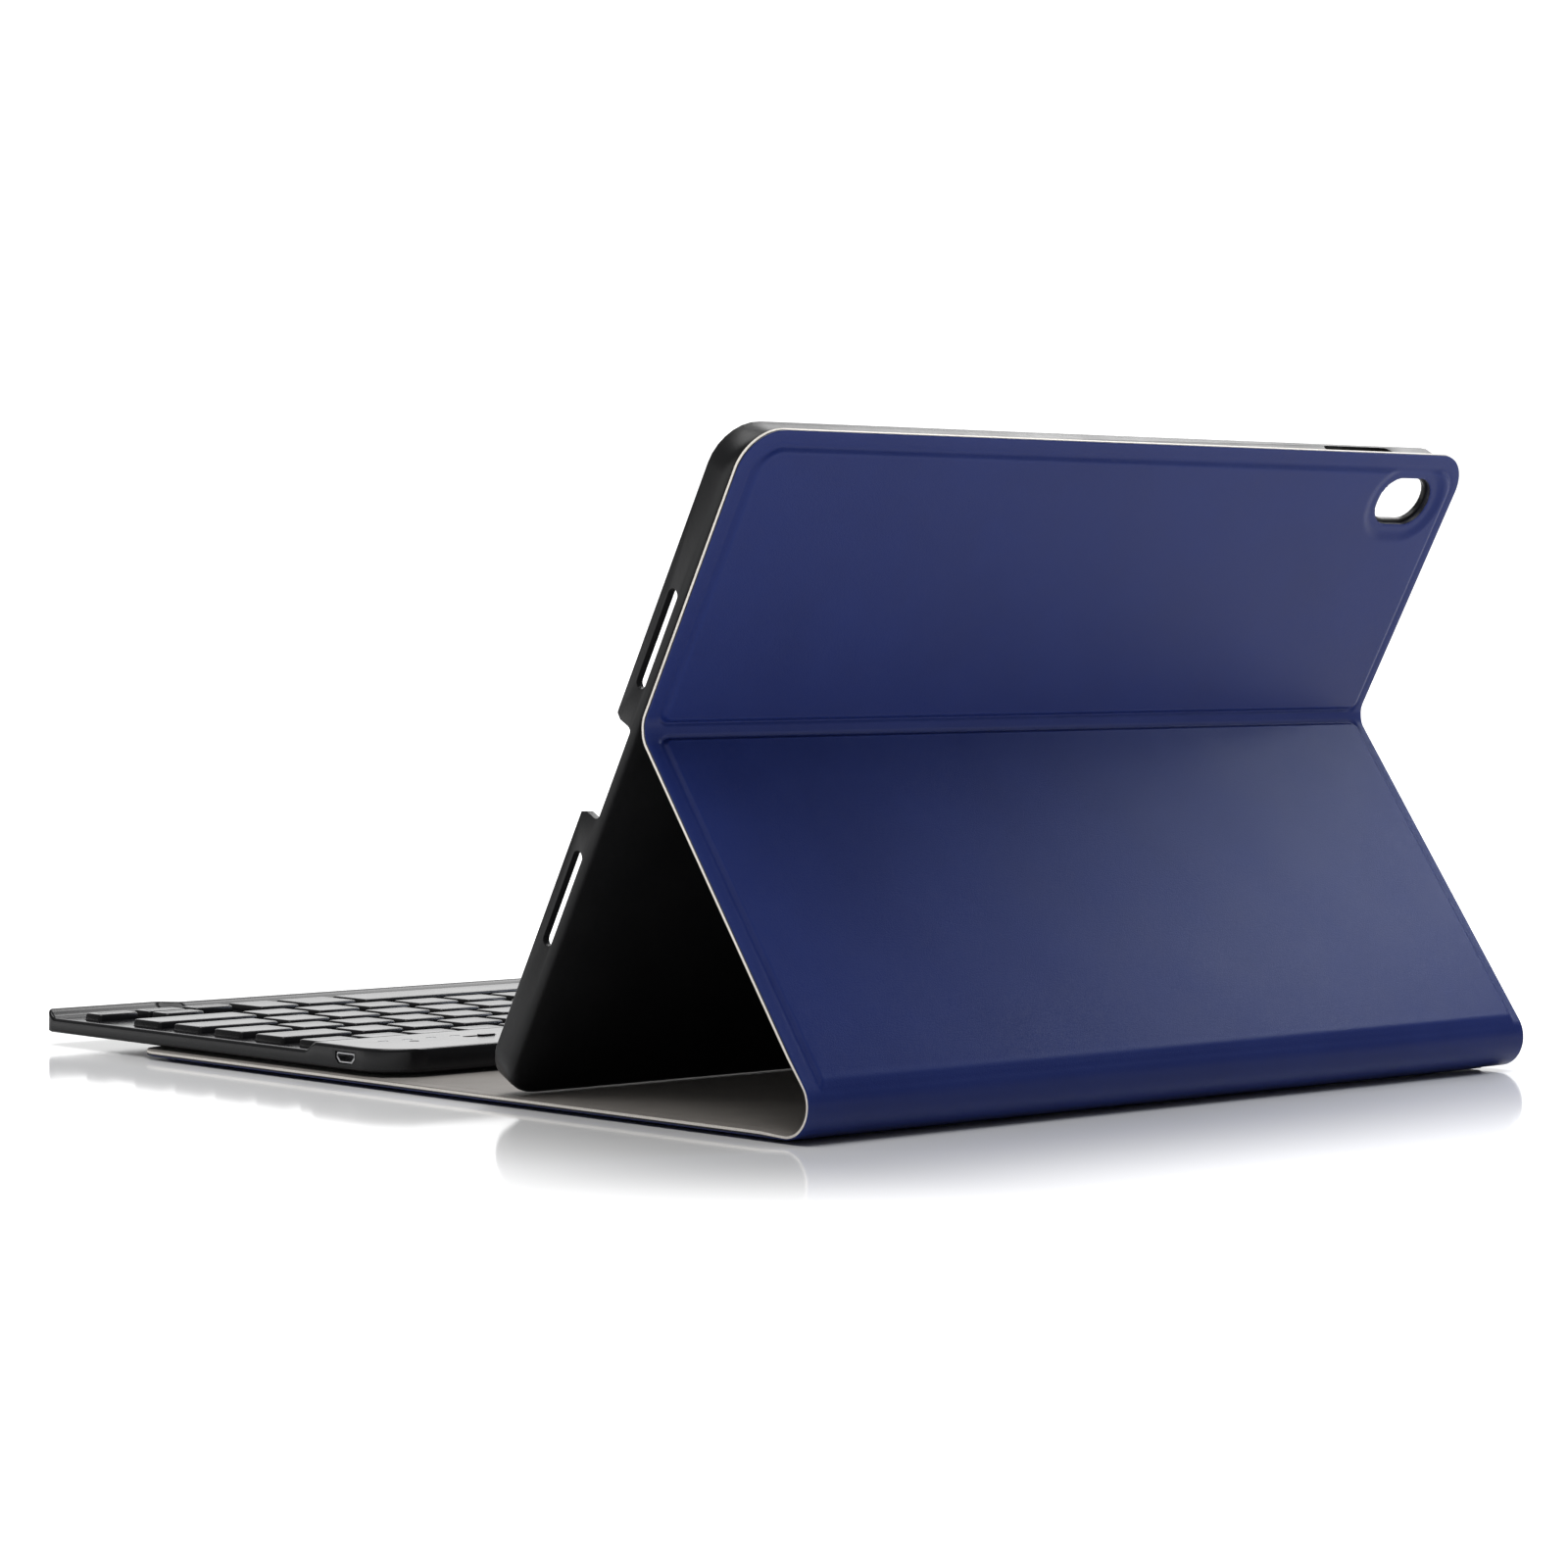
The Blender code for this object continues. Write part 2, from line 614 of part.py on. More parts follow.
def build_keyboard():
    pivot = (0.0, (KB_REAR + KB_FRONT) / 2, KB_BOTTOM)
    outline = kb_outline()
    rings = [
        (kb_outline(0.2), KB_BOTTOM + 0.8), (outline, KB_BOTTOM + 1.2),
        (outline, KB_TOP - 0.4), (kb_outline(0.4), KB_TOP),
    ]
    frame = finish("keyboard_top_frame", loft(LEVEL, rings), "black_deck", pivot)
    cut(frame, cutter(key_well(), "key_well"))
    keys_room = rectangle(-KB_HALF + 1.8, KB_HALF - 1.8, -146.0, STRIP_EDGE - 2.0)
    cut(frame, cutter(loft(LEVEL, [(keys_room, 3.0), (keys_room, KB_DECK - 0.7)]), "key_room"))
    side = KB_HALF - 1.8
    rear_room = rectangle(-side, side, STRIP_EDGE - 0.6, KB_REAR - 1.8, (0.0, 0.0, 9.5, 9.5))
    cut(frame, cutter(loft(LEVEL, [(rear_room, 3.0), (rear_room, KB_TOP - 1.0)]), "rear_room"))
    cut(frame, cutter(combine(opening_blocks()), "key_openings"))
    cut(frame, cutter(across([(118.0, -0.2), (128.0, -0.2)]), "usb_opening"))
    pits = []
    for x in INDICATORS:
        pit = stadium(x, INDICATOR_Y, 1.5, 0.8, 3)
        pits.append(loft(LEVEL, [(pit, 6.0), (pit, 11.0)]))
    slot = stadium(SWITCH_X, SWITCH_Y, 5.2, 1.4, 4)
    pits.append(loft(LEVEL, [(slot, 6.0), (slot, 11.0)]))
    dot = stadium(DOT[0], DOT[1], 1.3, 1.29, 4)
    pits.append(loft(LEVEL, [(dot, 6.0), (dot, 11.0)]))
    cut(frame, cutter(combine(pits), "strip_openings"))
    # bottom case: a floor plate with a locating lip
    rings = [(kb_outline(0.5), KB_BOTTOM), (outline, KB_BOTTOM + 0.4), (outline, KB_BOTTOM + 0.7)]
    finish("keyboard_bottom_case", loft(LEVEL, rings), "black_shell", pivot)
    # key support stack
    plate = rectangle(-KB_HALF + 2.4, KB_HALF - 2.4, -145.0, STRIP_EDGE - 2.6)
    prism("key_support_plate", LEVEL, plate, 4.2, 4.5, "steel", pivot, smooth=False)
    prism("switch_membrane", LEVEL, plate, 4.6, 4.8, "membrane", pivot, smooth=False)
    # rear compartment
    board = rectangle(60.0, 112.0, -28.0, -6.0)
    prism("circuit_board", LEVEL, board, 4.2, 4.8, "board_green", pivot, smooth=False)
    cell = rectangle(-50.0, 20.0, -29.5, -6.0, (1.0,) * 4, 3)
    prism("battery", LEVEL, cell, 4.2, 7.9, "battery_foil", pivot)
    for label, x0, x1 in MAGNETS:
        bar = rectangle(x0, x1, *MAGNET_Y)
        prism("keyboard_magnet_" + label, LEVEL, bar, 4.2, 6.0, "magnet", pivot, smooth=False)
    build_usb(pivot)
    guide = rectangle(INDICATORS[-1] - 3.0, INDICATORS[0] + 3.0, INDICATOR_Y - 1.6, INDICATOR_Y + 1.6)
    lens = prism("indicator_light_guide", LEVEL, guide, 7.2, 8.3, "clear_plastic", pivot, smooth=False)
    pins = []
    for x in INDICATORS:
        pin = stadium(x, INDICATOR_Y, 1.3, 0.6, 3)
        pins.append(loft(LEVEL, [(pin, 8.0), (pin, 9.45)]))
    cut(lens, cutter(combine(pins), "guide_pins"), "UNION")
    knob = stadium(SWITCH_X - 2.2, SWITCH_Y, 2.6, 1.1, 4)
    slide = stadium(SWITCH_X - 2.2, SWITCH_Y, 4.6, 2.2, 4)
    place = (SWITCH_X - 2.2, SWITCH_Y, 8.0)
    switch = prism("power_switch", LEVEL, slide, 7.6, 8.3, "black_key", place)
    cut(switch, cutter(loft(LEVEL, [(knob, 8.0), (knob, 9.9)]), "switch_knob"), "UNION")
    cap = stadium(DOT[0], DOT[1], 1.0, 0.99, 4)
    disc = stadium(DOT[0], DOT[1], 2.0, 1.99, 4)
    button = prism("pairing_button", LEVEL, disc, 7.6, 8.3, "black_key", (DOT[0], DOT[1], 8.0))
    cut(button, cutter(loft(LEVEL, [(cap, 8.0), (cap, 9.4)]), "button_cap"), "UNION")
    feet = (("rear_right", 105.0, -12.0), ("rear_left", -105.0, -12.0),
            ("front_right", 105.0, -100.0), ("front_left", -105.0, -100.0))
    for label, x, y in feet:
        pad = stadium(x, y, 9.0, 2.5, 5)
        prism("rubber_foot_" + label, LEVEL, pad, PAD_OUT + 0.1, KB_BOTTOM - 0.1, "foot_rubber", pivot)


def usb_ring(grow):
    """Trapezoid outline of the socket; a larger grow makes it narrower."""
    wide, narrow = 3.7 - grow, 2.5 - grow
    top, side, foot = USB_Z + 1.2 - grow, USB_Z - 0.1 + grow, USB_Z - 1.3 + grow
    return fillet([
        (USB_Y - wide, top, 0.4), (USB_Y + wide, top, 0.4), (USB_Y + wide, side, 0.3),
        (USB_Y + narrow, foot, 0.3), (USB_Y - narrow, foot, 0.3), (USB_Y - wide, side, 0.3),
    ], 3)


def across(stations):
    """Closed skin through socket outlines (x, grow), running from side to side."""
    shape = bmesh.new()
    loops = []
    for x, grow in stations:
        loops.append([shape.verts.new(Vector((x * MM, y * MM, z * MM))) for y, z in usb_ring(grow)])
    count = len(loops[0])
    for a, b in zip(loops, loops[1:]):
        for i in range(count):
            j = (i + 1) % count
            shape.faces.new((a[i], a[j], b[j], b[i]))
    shape.faces.new(loops[0])
    shape.faces.new(loops[-1])
    return shape


def build_usb(pivot):
    """Micro socket: a folded metal shell, open towards the side."""
    shape = across([(118.4, 0.0), (123.9, 0.0), (123.9, 0.3), (119.2, 0.3)])
    finish("micro_socket", shape, "steel", pivot)


clear_scene()
build_folio()
build_shell()
build_keyboard()
build_keys()
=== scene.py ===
"""Looks of the tablet keyboard case: leather folio sheet, lining, key caps, materials, light and camera."""

import math

import bmesh
import bpy
import numpy as np
from mathutils import Matrix, Vector


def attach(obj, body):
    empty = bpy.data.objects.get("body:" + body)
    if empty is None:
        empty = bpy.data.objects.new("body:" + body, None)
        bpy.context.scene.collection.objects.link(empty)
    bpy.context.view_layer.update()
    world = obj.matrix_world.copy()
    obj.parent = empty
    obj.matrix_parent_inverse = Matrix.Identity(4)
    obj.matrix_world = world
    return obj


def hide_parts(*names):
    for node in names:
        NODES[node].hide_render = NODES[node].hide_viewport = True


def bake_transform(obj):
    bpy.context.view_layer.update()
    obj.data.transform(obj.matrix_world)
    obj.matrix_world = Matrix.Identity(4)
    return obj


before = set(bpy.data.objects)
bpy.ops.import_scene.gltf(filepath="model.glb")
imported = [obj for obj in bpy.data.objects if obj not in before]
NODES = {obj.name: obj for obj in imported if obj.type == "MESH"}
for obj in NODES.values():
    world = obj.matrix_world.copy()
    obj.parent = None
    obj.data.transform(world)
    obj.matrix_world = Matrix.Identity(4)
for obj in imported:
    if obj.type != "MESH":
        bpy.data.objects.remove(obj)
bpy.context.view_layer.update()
MM = 0.001

# ---- side profile of the folio, millimetres and degrees, as in the CAD ----
CREASE = (96.75, 91.47)
UP_TILT = 61.14
FLAP_TILT = 125.53
STRIP_LENGTH = 4.7
GROOVE_ABOVE = 2.2
UPPER_TOP = 78.4
COVER_HALF = 126.5
COVER_FRONT = -109.45
CORNER_R = 10.5
BEND_HEIGHT = 8.7
BEND_INNER = 6.4
FOLD_R = 7.0                      # lining radius where the sheet folds at each groove

# ---- layers of the folio, outward from the lining's inner face ----
LINING_OUT = 0.84
LINING_OUT_BOARD = 0.56
LEATHER_IN = 0.86
LEATHER_IN_BOARD = 1.65
BORDER_OUT = 1.5
EDGE_ROUND = 0.24                 # rolled rim of the leather
SPINE_SHIFT = 0.46                # how far the sheet is drawn outward round the spine
SPINE_SHIFT_OUTER = SPINE_SHIFT * 0.8
SPINE_EASE = (1.0, 10.0)          # where that starts and ends, inside and outside the spine
BOARD_EASE = (0.7, 1.0)           # distance inside a pad over which its board sets in

# ---- raised pads over the boards ----
PAD_RISE = 0.78
PAD_SLOPE = 1.25
PAD_LEFT = 4.4                    # border at +X, the left side seen from behind
PAD_RIGHT = 2.9                   # border at -X
PAD_TOP = 4.0
PAD_CORNER_R = 7.5
PAD_FOLD_R = 2.8
PAD_PAST_FOLD = 0.1
PAD_DISH = 0.035
FLAP_PAD_END = 4.0
FLAP_PAD_END_R = 2.0
FLAP_PAD_EASE = (1.6, 0.4)        # reach past the flap's foot and slope of its fading end
FRONT_PAD_START = 0.6
FRONT_PAD_START_R = 4.0
FRONT_PAD_EASE = (0.4, 0.5)

# ---- pressed line along the pads, and the two folds of the crease ----
PRESS_DEPTH = 0.08
PRESS_WIDTH = 0.6
PRESS_OUTSIDE = 0.25
CREASE_DEPTH = 0.26
CREASE_SPREAD = 2.2
PRESS_FADE = (2.0, 7.0)           # the line fades out near the spine
LINING_PRESS = (0.13, 0.3, 0.55)  # depth, place inside the pad and width
LINING_RIM = (0.2, 0.2)           # width and depth of its rounded rim
RIPPLE = (0.035, 0.02)            # heights of the leather's two slow swells

# ---- camera opening in the upper panel ----
CAMERA_X = -107.0
CAMERA_S = 64.9
CAMERA_HALF = (10.0, 6.7)
CAMERA_STEP = 3.2                 # width of the sunk border round it
CAMERA_EASE = (1.2, 1.6)
CAMERA_CUT = (-1.5, 4.0)          # inward and outward reach of the cutter

# ---- grid of the sheets ----
RIM_STEPS = (0.0, 0.03, 0.09, 0.18, 0.28, 0.4)
RIM_END = 0.8
RIM_BAND = 16.0
RIM_STEP = 0.45
WIDE_STEP = 5.0
INNER_X = COVER_HALF - RIM_BAND

# ---- keyboard ----
KB_HALF = 124.2
KB_REAR = -0.25
KB_FRONT = -155.25
KB_NOTCH = 5.0
KB_NOTCH_HALF = 84.0
KB_BOTTOM = 3.4
KB_DECK = 7.3
KB_TOP = 9.5
KB_WALL = 0.75
KB_EDGE_R = 0.85
DECK_RIM_STEPS = [0.0, 0.04, 0.12, 0.24, 0.4, 0.6, 0.85]
DECK_FIXED = 39.0                 # rows this near the rear edge stay straight; the rest follow the notch
KB_REAR_R = 12.0
KB_FRONT_R = 4.0
STRIP_EDGE = -31.7
INDICATORS = (110.0, 102.3, 94.7, 87.0)
INDICATOR_Y = -21.5
SWITCH = (82.0, -17.5)            # power switch slot, x and y
DOT = (103.5, -17.0)              # pairing button hole, x and y
USB = (-18.65, 6.45)              # centre of the socket's mouth, y and z

# ---- keys ----
KEY_WEB = (6.0, 6.5)              # bottom and top of the web that joins a node's keys
KEY_TOP = 9.1
KEY_CORNER_R = 1.1
KEY_CLEAR = 0.3                   # gap between a key and its opening
KEY_PITCH = 16.3
KEY_WIDE = 13.6
KEY_GAP = KEY_PITCH - KEY_WIDE
COMMAND_WIDE = 17.0
ARROW_WIDE = 13.0
ARROW_GAP = 1.0
KEYS_RIGHT = 120.2
ROWS = {
    "function": (-34.9, -44.0),
    "number": (-50.5, -63.2),
    "upper": (-68.8, -81.4),
    "home": (-87.1, -99.7),
    "lower": (-105.6, -118.2),
    "bottom": (-125.1, -141.3),
}
# node of the keys between the ends, their number, then width and own node of the right and left end keys
FILLED_ROWS = {
    "function": ("function_row_keys", 13, (KEY_WIDE, None), (KEY_WIDE, None)),
    "number": ("number_row_keys", 12, (23.0, "backspace_key"), (KEY_WIDE, None)),
    "upper": ("upper_letter_keys", 12, (17.5, None), (19.0, "tab_key")),
    "home": ("home_letter_keys", 11, (26.0, "enter_key"), (23.5, "caps_lock_key")),
    "lower": ("lower_letter_keys", 10, (32.5, "right_shift_key"), (32.0, "left_shift_key")),
}


# ---- floor and world ----
FOOTPRINT = (0.13, 0.155)         # half width and half depth of the object, metres
FADE_START = 0.015
FADE_END = 0.17
BRIGHT_AXIS = (-0.66, -0.64, 0.39)
BRIGHT_EDGE = (0.80, 0.90)
WORLD_STRENGTH = (0.2, 1.3)

# ---- camera, from the fit to the photograph: radians, millimetres ----
YAW, PITCH, ROLL = 3.883892, -0.0438046, 0.0031085
EYE = (803.09, 886.82, 119.98)
FOCAL_LENGTH = 103.472
LENS_SHIFT = (-0.004725, 0.012473)


# ---------------------------------------------------------------- folio path

def heading(degrees):
    a = math.radians(degrees)
    return math.cos(a), math.sin(a)


class SheetPath:
    """The lining's inner face, from the upper panel's top edge down the flap and round to the front edge."""

    def __init__(self):
        turn = math.radians(FLAP_TILT - UP_TILT) / 2
        trim = FOLD_R * math.tan(turn / 2)
        up = heading(UP_TILT)
        flap = heading(FLAP_TILT)
        strip = heading((UP_TILT + FLAP_TILT) / 2)
        groove_up = (CREASE[0] + up[0] * GROOVE_ABOVE, CREASE[1] + up[1] * GROOVE_ABOVE)
        down = (groove_up[0] - strip[0] * STRIP_LENGTH, groove_up[1] - strip[1] * STRIP_LENGTH)
        flap_length = (down[1] + BEND_INNER * flap[0] - BEND_HEIGHT) / flap[1]
        foot = (down[0] - flap[0] * flap_length, down[1] - flap[1] * flap_length)
        self.bend_y = foot[0] - BEND_INNER * flap[1]
        self.spine_turn = math.radians(FLAP_TILT) / 3
        start = (CREASE[0] + up[0] * UPPER_TOP, CREASE[1] + up[1] * UPPER_TOP)
        steps = [
            ("upper", UPPER_TOP - GROOVE_ABOVE - trim, 0.0),
            ("fold_up", FOLD_R * turn, 1 / FOLD_R),
            ("strip", STRIP_LENGTH - 2 * trim, 0.0),
            ("fold_down", FOLD_R * turn, 1 / FOLD_R),
            ("flap", flap_length - trim, 0.0),
            ("spine", BEND_INNER * math.radians(FLAP_TILT), -1 / BEND_INNER),
            ("front", self.bend_y - COVER_FRONT, 0.0),
        ]
        self.parts = []
        self.at = {}
        t, point, angle = 0.0, start, math.radians(UP_TILT + 180)
        for name, length, bend in steps:
            self.parts.append((t, t + length, point, angle, bend))
            self.at[name] = (t, t + length)
            point, angle = self.walk(point, angle, bend, length)
            t += length
        self.total = t

    @staticmethod
    def walk(point, angle, bend, length):
        if bend == 0.0:
            return (point[0] + math.cos(angle) * length, point[1] + math.sin(angle) * length), angle
        centre = (point[0] - math.sin(angle) / bend, point[1] + math.cos(angle) / bend)
        after = angle + bend * length
        return (centre[0] + math.sin(after) / bend, centre[1] - math.cos(after) / bend), after

    def spot(self, t):
        """Profile point and outward direction at arc length t."""
        for t0, t1, point, angle, bend in self.parts:
            if t <= t1 or t1 == self.total:
                here, after = self.walk(point, angle, bend, t - t0)
                return here, (-math.sin(after), math.cos(after))
        raise ValueError(t)

    def world(self, x, t, w):
        (y, z), (oy, oz) = self.spot(t)
        return Vector((x, y + oy * w, z + oz * w)) * MM

    def middle(self, name):
        return sum(self.at[name]) / 2


PATH = SheetPath()
FOLD_UP = PATH.middle("fold_up")
FOLD_DOWN = PATH.middle("fold_down")
FLAP_T = PATH.at["flap"]
FRONT_T = PATH.at["front"]
CAMERA_T = UPPER_TOP - CAMERA_S


def smooth(low, high, value):
    """0 below low and 1 above high, easing in between."""
    share = np.clip((value - low) / (high - low), 0.0, 1.0)
    return share * share * (3 - 2 * share)


def half_width(t):
    """Half width of the sheet, drawn in at its four rounded corners."""
    inset = np.minimum(t, PATH.total - t)
    rise = np.clip(CORNER_R - inset, 0.0, CORNER_R)
    return COVER_HALF - CORNER_R + np.sqrt(CORNER_R ** 2 - rise ** 2)


def edge_distance(x, t):
    """Distance from the sheet's own outline, inward."""
    inset = np.minimum(t, PATH.total - t)
    dx = CORNER_R - (COVER_HALF - np.abs(x))
    dt = CORNER_R - inset
    corner = CORNER_R - np.hypot(np.maximum(dx, 0.0), np.maximum(dt, 0.0))
    return np.where((dx > 0) & (dt > 0), corner, np.minimum(COVER_HALF - np.abs(x), inset))


def rounded_inside(x, t, half, t0, t1, r0, r1):
    """Distance inside a rounded rectangle; r0 rounds the corners at t0 and r1 those at t1."""
    middle = (t0 + t1) / 2
    r = np.where(t < middle, r0, r1)
    qx = np.abs(x) - half + r
    qt = np.abs(t - middle) - (t1 - t0) / 2 + r
    outside = np.hypot(np.maximum(qx, 0.0), np.maximum(qt, 0.0)) + np.minimum(np.maximum(qx, qt), 0.0)
    return r - outside


def camera_distance(x, t):
    """Distance outward from the rim of the camera opening."""
    straight = CAMERA_HALF[0] - CAMERA_HALF[1]
    dx = np.maximum(np.abs(x - CAMERA_X) - straight, 0.0)
    return np.hypot(dx, t - CAMERA_T) - CAMERA_HALF[1]


def pad_distance(x, t):
    """Distance inside the nearest raised pad; negative on the borders, grooves and spine."""
    half = COVER_HALF - (PAD_LEFT + PAD_RIGHT) / 2
    x = x + (PAD_LEFT - PAD_RIGHT) / 2
    upper_end = FOLD_UP + PAD_PAST_FOLD
    upper = rounded_inside(x, t, half, PAD_TOP, upper_end, PAD_CORNER_R, PAD_FOLD_R)
    flap_ends = (FOLD_DOWN - PAD_PAST_FOLD, FLAP_T[1] + FLAP_PAD_END)
    flap = rounded_inside(x, t, half, *flap_ends, PAD_FOLD_R, FLAP_PAD_END_R)
    reach, slope = FLAP_PAD_EASE
    flap = np.minimum(flap, (FLAP_T[1] + reach - t) * slope)
    front_ends = (FRONT_T[0] + FRONT_PAD_START, PATH.total - PAD_TOP)
    front = rounded_inside(x, t, half, *front_ends, FRONT_PAD_START_R, PAD_CORNER_R)
    reach, slope = FRONT_PAD_EASE
    front = np.minimum(front, (t - FRONT_T[0] - reach) * slope)
    return np.maximum(np.maximum(upper, flap), front)


def ripple(x, t):
    """Slow unevenness of glued leather, as a broad swell and a smaller slanted one."""
    broad = np.sin(x * 0.061 + 0.7) * np.sin(t * 0.083 + 1.1)
    slanted = np.sin(x * 0.17 + t * 0.11)
    return RIPPLE[0] * broad + RIPPLE[1] * slanted


def camera_sink(x, t):
    """1 on the sunk border round the camera opening, easing to 0 outside it."""
    inner, outer = CAMERA_EASE
    return 1 - smooth(CAMERA_STEP - inner, CAMERA_STEP + outer, camera_distance(x, t))


def rolled(distance, radius, depth):
    """How far a rounded rim of that radius drops, from depth at the edge to 0 inside it."""
    left = np.clip(1 - distance / radius, 0.0, 1.0)
    return depth * (1 - np.sqrt(1 - left ** 2))


def outer_height(x, t):
    """Height of the leather's outer face above the lining's inner face."""
    pad = pad_distance(x, t)
    raised = smooth(0.0, PAD_SLOPE, pad) * (1 - camera_sink(x, t))
    w = BORDER_OUT + PAD_RISE * raised
    folds = [np.exp(-((t - fold) / CREASE_SPREAD) ** 2) for fold in (FOLD_UP, FOLD_DOWN)]
    depth = PRESS_DEPTH + CREASE_DEPTH * sum(folds)
    near, far = PRESS_FADE
    below_flap = smooth(FLAP_T[1] - far, FLAP_T[1] - near, t)
    near_spine = below_flap * (1 - smooth(FRONT_T[0] + near, FRONT_T[0] + far, t))
    w -= depth * np.exp(-((pad + PRESS_OUTSIDE) / PRESS_WIDTH) ** 2) * (1 - near_spine)
    w += ripple(x, t) * smooth(0.5, 6.0, pad) - PAD_DISH * raised
    rim = np.minimum(edge_distance(x, t), camera_distance(x, t))
    return w - rolled(rim, EDGE_ROUND, EDGE_ROUND)


def spine_share(t):
    """1 round the spine, where the sheet is drawn outward to clear the shell when it opens flat."""
    start, end = PATH.at["spine"]
    inside, outside = SPINE_EASE
    return smooth(start - outside, start + inside, t) * (1 - smooth(end - inside, end + outside, t))


def board_share(x, t):
    """1 where a board lies between the leather and the lining."""
    inner, outer = CAMERA_EASE
    clear_of_camera = smooth(CAMERA_STEP + inner, CAMERA_STEP + outer, camera_distance(x, t))
    return smooth(*BOARD_EASE, pad_distance(x, t)) * clear_of_camera


def leather_under(x, t):
    """The leather's inner face, lifted over the boards."""
    rise = (LEATHER_IN_BOARD - LEATHER_IN) * board_share(x, t)
    return LEATHER_IN + rise + SPINE_SHIFT_OUTER * spine_share(t)


def lining_over(x, t):
    """The lining's outer face, sunk a little under the boards."""
    drop = (LINING_OUT - LINING_OUT_BOARD) * board_share(x, t)
    return LINING_OUT - drop + SPINE_SHIFT_OUTER * spine_share(t)


def lining_under(x, t):
    """The lining's inner face, pressed in a little along the edges of the boards."""
    depth, inside, width = LINING_PRESS
    press = depth * np.exp(-((pad_distance(x, t) - inside) / width) ** 2)
    return press + rolled(edge_distance(x, t), *LINING_RIM) + SPINE_SHIFT * spine_share(t)


# ---------------------------------------------------------------- sheet mesh

def spread(low, high, step):
    """Even stations from low to high, no further apart than step."""
    count = max(1, int(math.ceil((high - low) / step - 1e-6)))
    return [low + (high - low) * i / count for i in range(count + 1)]


def merge(values, least=0.03):
    """The values in order, without any closer than least to the one before."""
    kept = []
    for value in sorted(values):
        if not kept or value - kept[-1] > least:
            kept.append(value)
    return kept


def column_stations():
    """Column positions at full width, close together near the side edges and the camera opening."""
    rim = [COVER_HALF - d for d in RIM_STEPS]
    side = spread(INNER_X, COVER_HALF - RIM_END, RIM_STEP)
    by_camera, past_camera = -90.0, -80.0
    right = spread(past_camera, INNER_X, 5.5)
    left = spread(-INNER_X, by_camera, 0.7) + spread(by_camera, past_camera, 2.5)
    return merge([-v for v in rim + side] + left + right + side + rim)


def row_stations(marks):
    """Row positions along the sheet, close together at its ends, the camera opening and the folds."""
    total = PATH.total
    past_camera = 26.0
    fold_start, fold_end = FOLD_UP - 7.0, FOLD_DOWN + 7.0
    bend_start, bend_end = FLAP_T[1] - 8.0, FRONT_T[0] + 8.0
    rows = list(RIM_STEPS) + [total - d for d in RIM_STEPS]
    rows += spread(RIM_END, past_camera, RIM_STEP) + spread(past_camera, fold_start, WIDE_STEP)
    rows += spread(fold_start, fold_end, 0.3)
    rows += spread(fold_end, bend_start, WIDE_STEP) + spread(bend_start, FLAP_T[1], 0.4)
    rows += spread(FLAP_T[1], FRONT_T[0], 0.2) + spread(FRONT_T[0], bend_end, 0.4)
    rows += spread(bend_end, total - RIM_BAND, WIDE_STEP)
    rows += spread(total - RIM_BAND, total - RIM_END, RIM_STEP)
    rows = [r for r in rows if all(abs(r - m) > 0.08 for m in marks)]
    return merge(rows + list(marks), 0.02)


SEAMS = (
    0.0,
    PATH.middle("strip"),
    PATH.middle("flap"),
    PATH.at["spine"][0] + BEND_INNER * PATH.spine_turn,
    PATH.at["spine"][0] + BEND_INNER * PATH.spine_turn * 2,
    PATH.total,
)
COLUMNS = np.array(column_stations())
ROWS_T = np.array(row_stations(SEAMS))


def sheet_grid():
    """Column and arc-length coordinates of every grid point, drawn in at the rounded corners."""
    t = np.repeat(ROWS_T[:, None], len(COLUMNS), axis=1)
    x = np.repeat(COLUMNS[None, :], len(ROWS_T), axis=0)
    share = (half_width(t) - INNER_X) / (COVER_HALF - INNER_X)
    drawn = np.sign(x) * (INNER_X + (np.abs(x) - INNER_X) * share)
    return np.where(np.abs(x) > INNER_X, drawn, x), t


GRID_X, GRID_T = sheet_grid()


def place(height):
    """World points, in metres, of the grid lifted outward by height."""
    spots = [PATH.spot(t) for t in ROWS_T]
    base = np.array([s[0] for s in spots])[:, None, :]
    out = np.array([s[1] for s in spots])[:, None, :]
    yz = base + out * height[:, :, None]
    return np.dstack([GRID_X, yz[:, :, 0], yz[:, :, 1]]) * MM


def grid_normals(points, outward):
    """Smooth normals of a grid; outward is 1 for the leather's side of it and -1 for the other."""
    across = np.gradient(points, axis=1)
    along = np.gradient(points, axis=0)
    normal = np.cross(across, along)
    normal /= np.linalg.norm(normal, axis=2)[:, :, None]
    spots = np.array([PATH.spot(t)[1] for t in ROWS_T])
    facing = (normal[:, :, 1] * spots[:, None, 0] + normal[:, :, 2] * spots[:, None, 1]).mean()
    return normal * (1 if facing > 0 else -1) * outward


def link(name, data):
    """A new object in the scene with this mesh, light or camera."""
    made = bpy.data.objects.new(name, data)
    bpy.context.scene.collection.objects.link(made)
    return made


def close_skin(shape, loops):
    """Walls between rings of vertices, and a face over each end."""
    for low, high in zip(loops, loops[1:]):
        for i in range(len(low)):
            j = (i + 1) % len(low)
            shape.faces.new((low[i], low[j], high[j], high[i]))
    shape.faces.new(list(reversed(loops[0])))
    shape.faces.new(loops[-1])


def apply_modifiers(piece):
    """Give the piece the mesh that its modifiers make, and return it."""
    bpy.context.view_layer.update()
    evaluated = piece.evaluated_get(bpy.context.evaluated_depsgraph_get())
    result = bpy.data.meshes.new_from_object(evaluated)
    piece.modifiers.clear()
    old = piece.data
    piece.data = result
    bpy.data.meshes.remove(old)
    return result


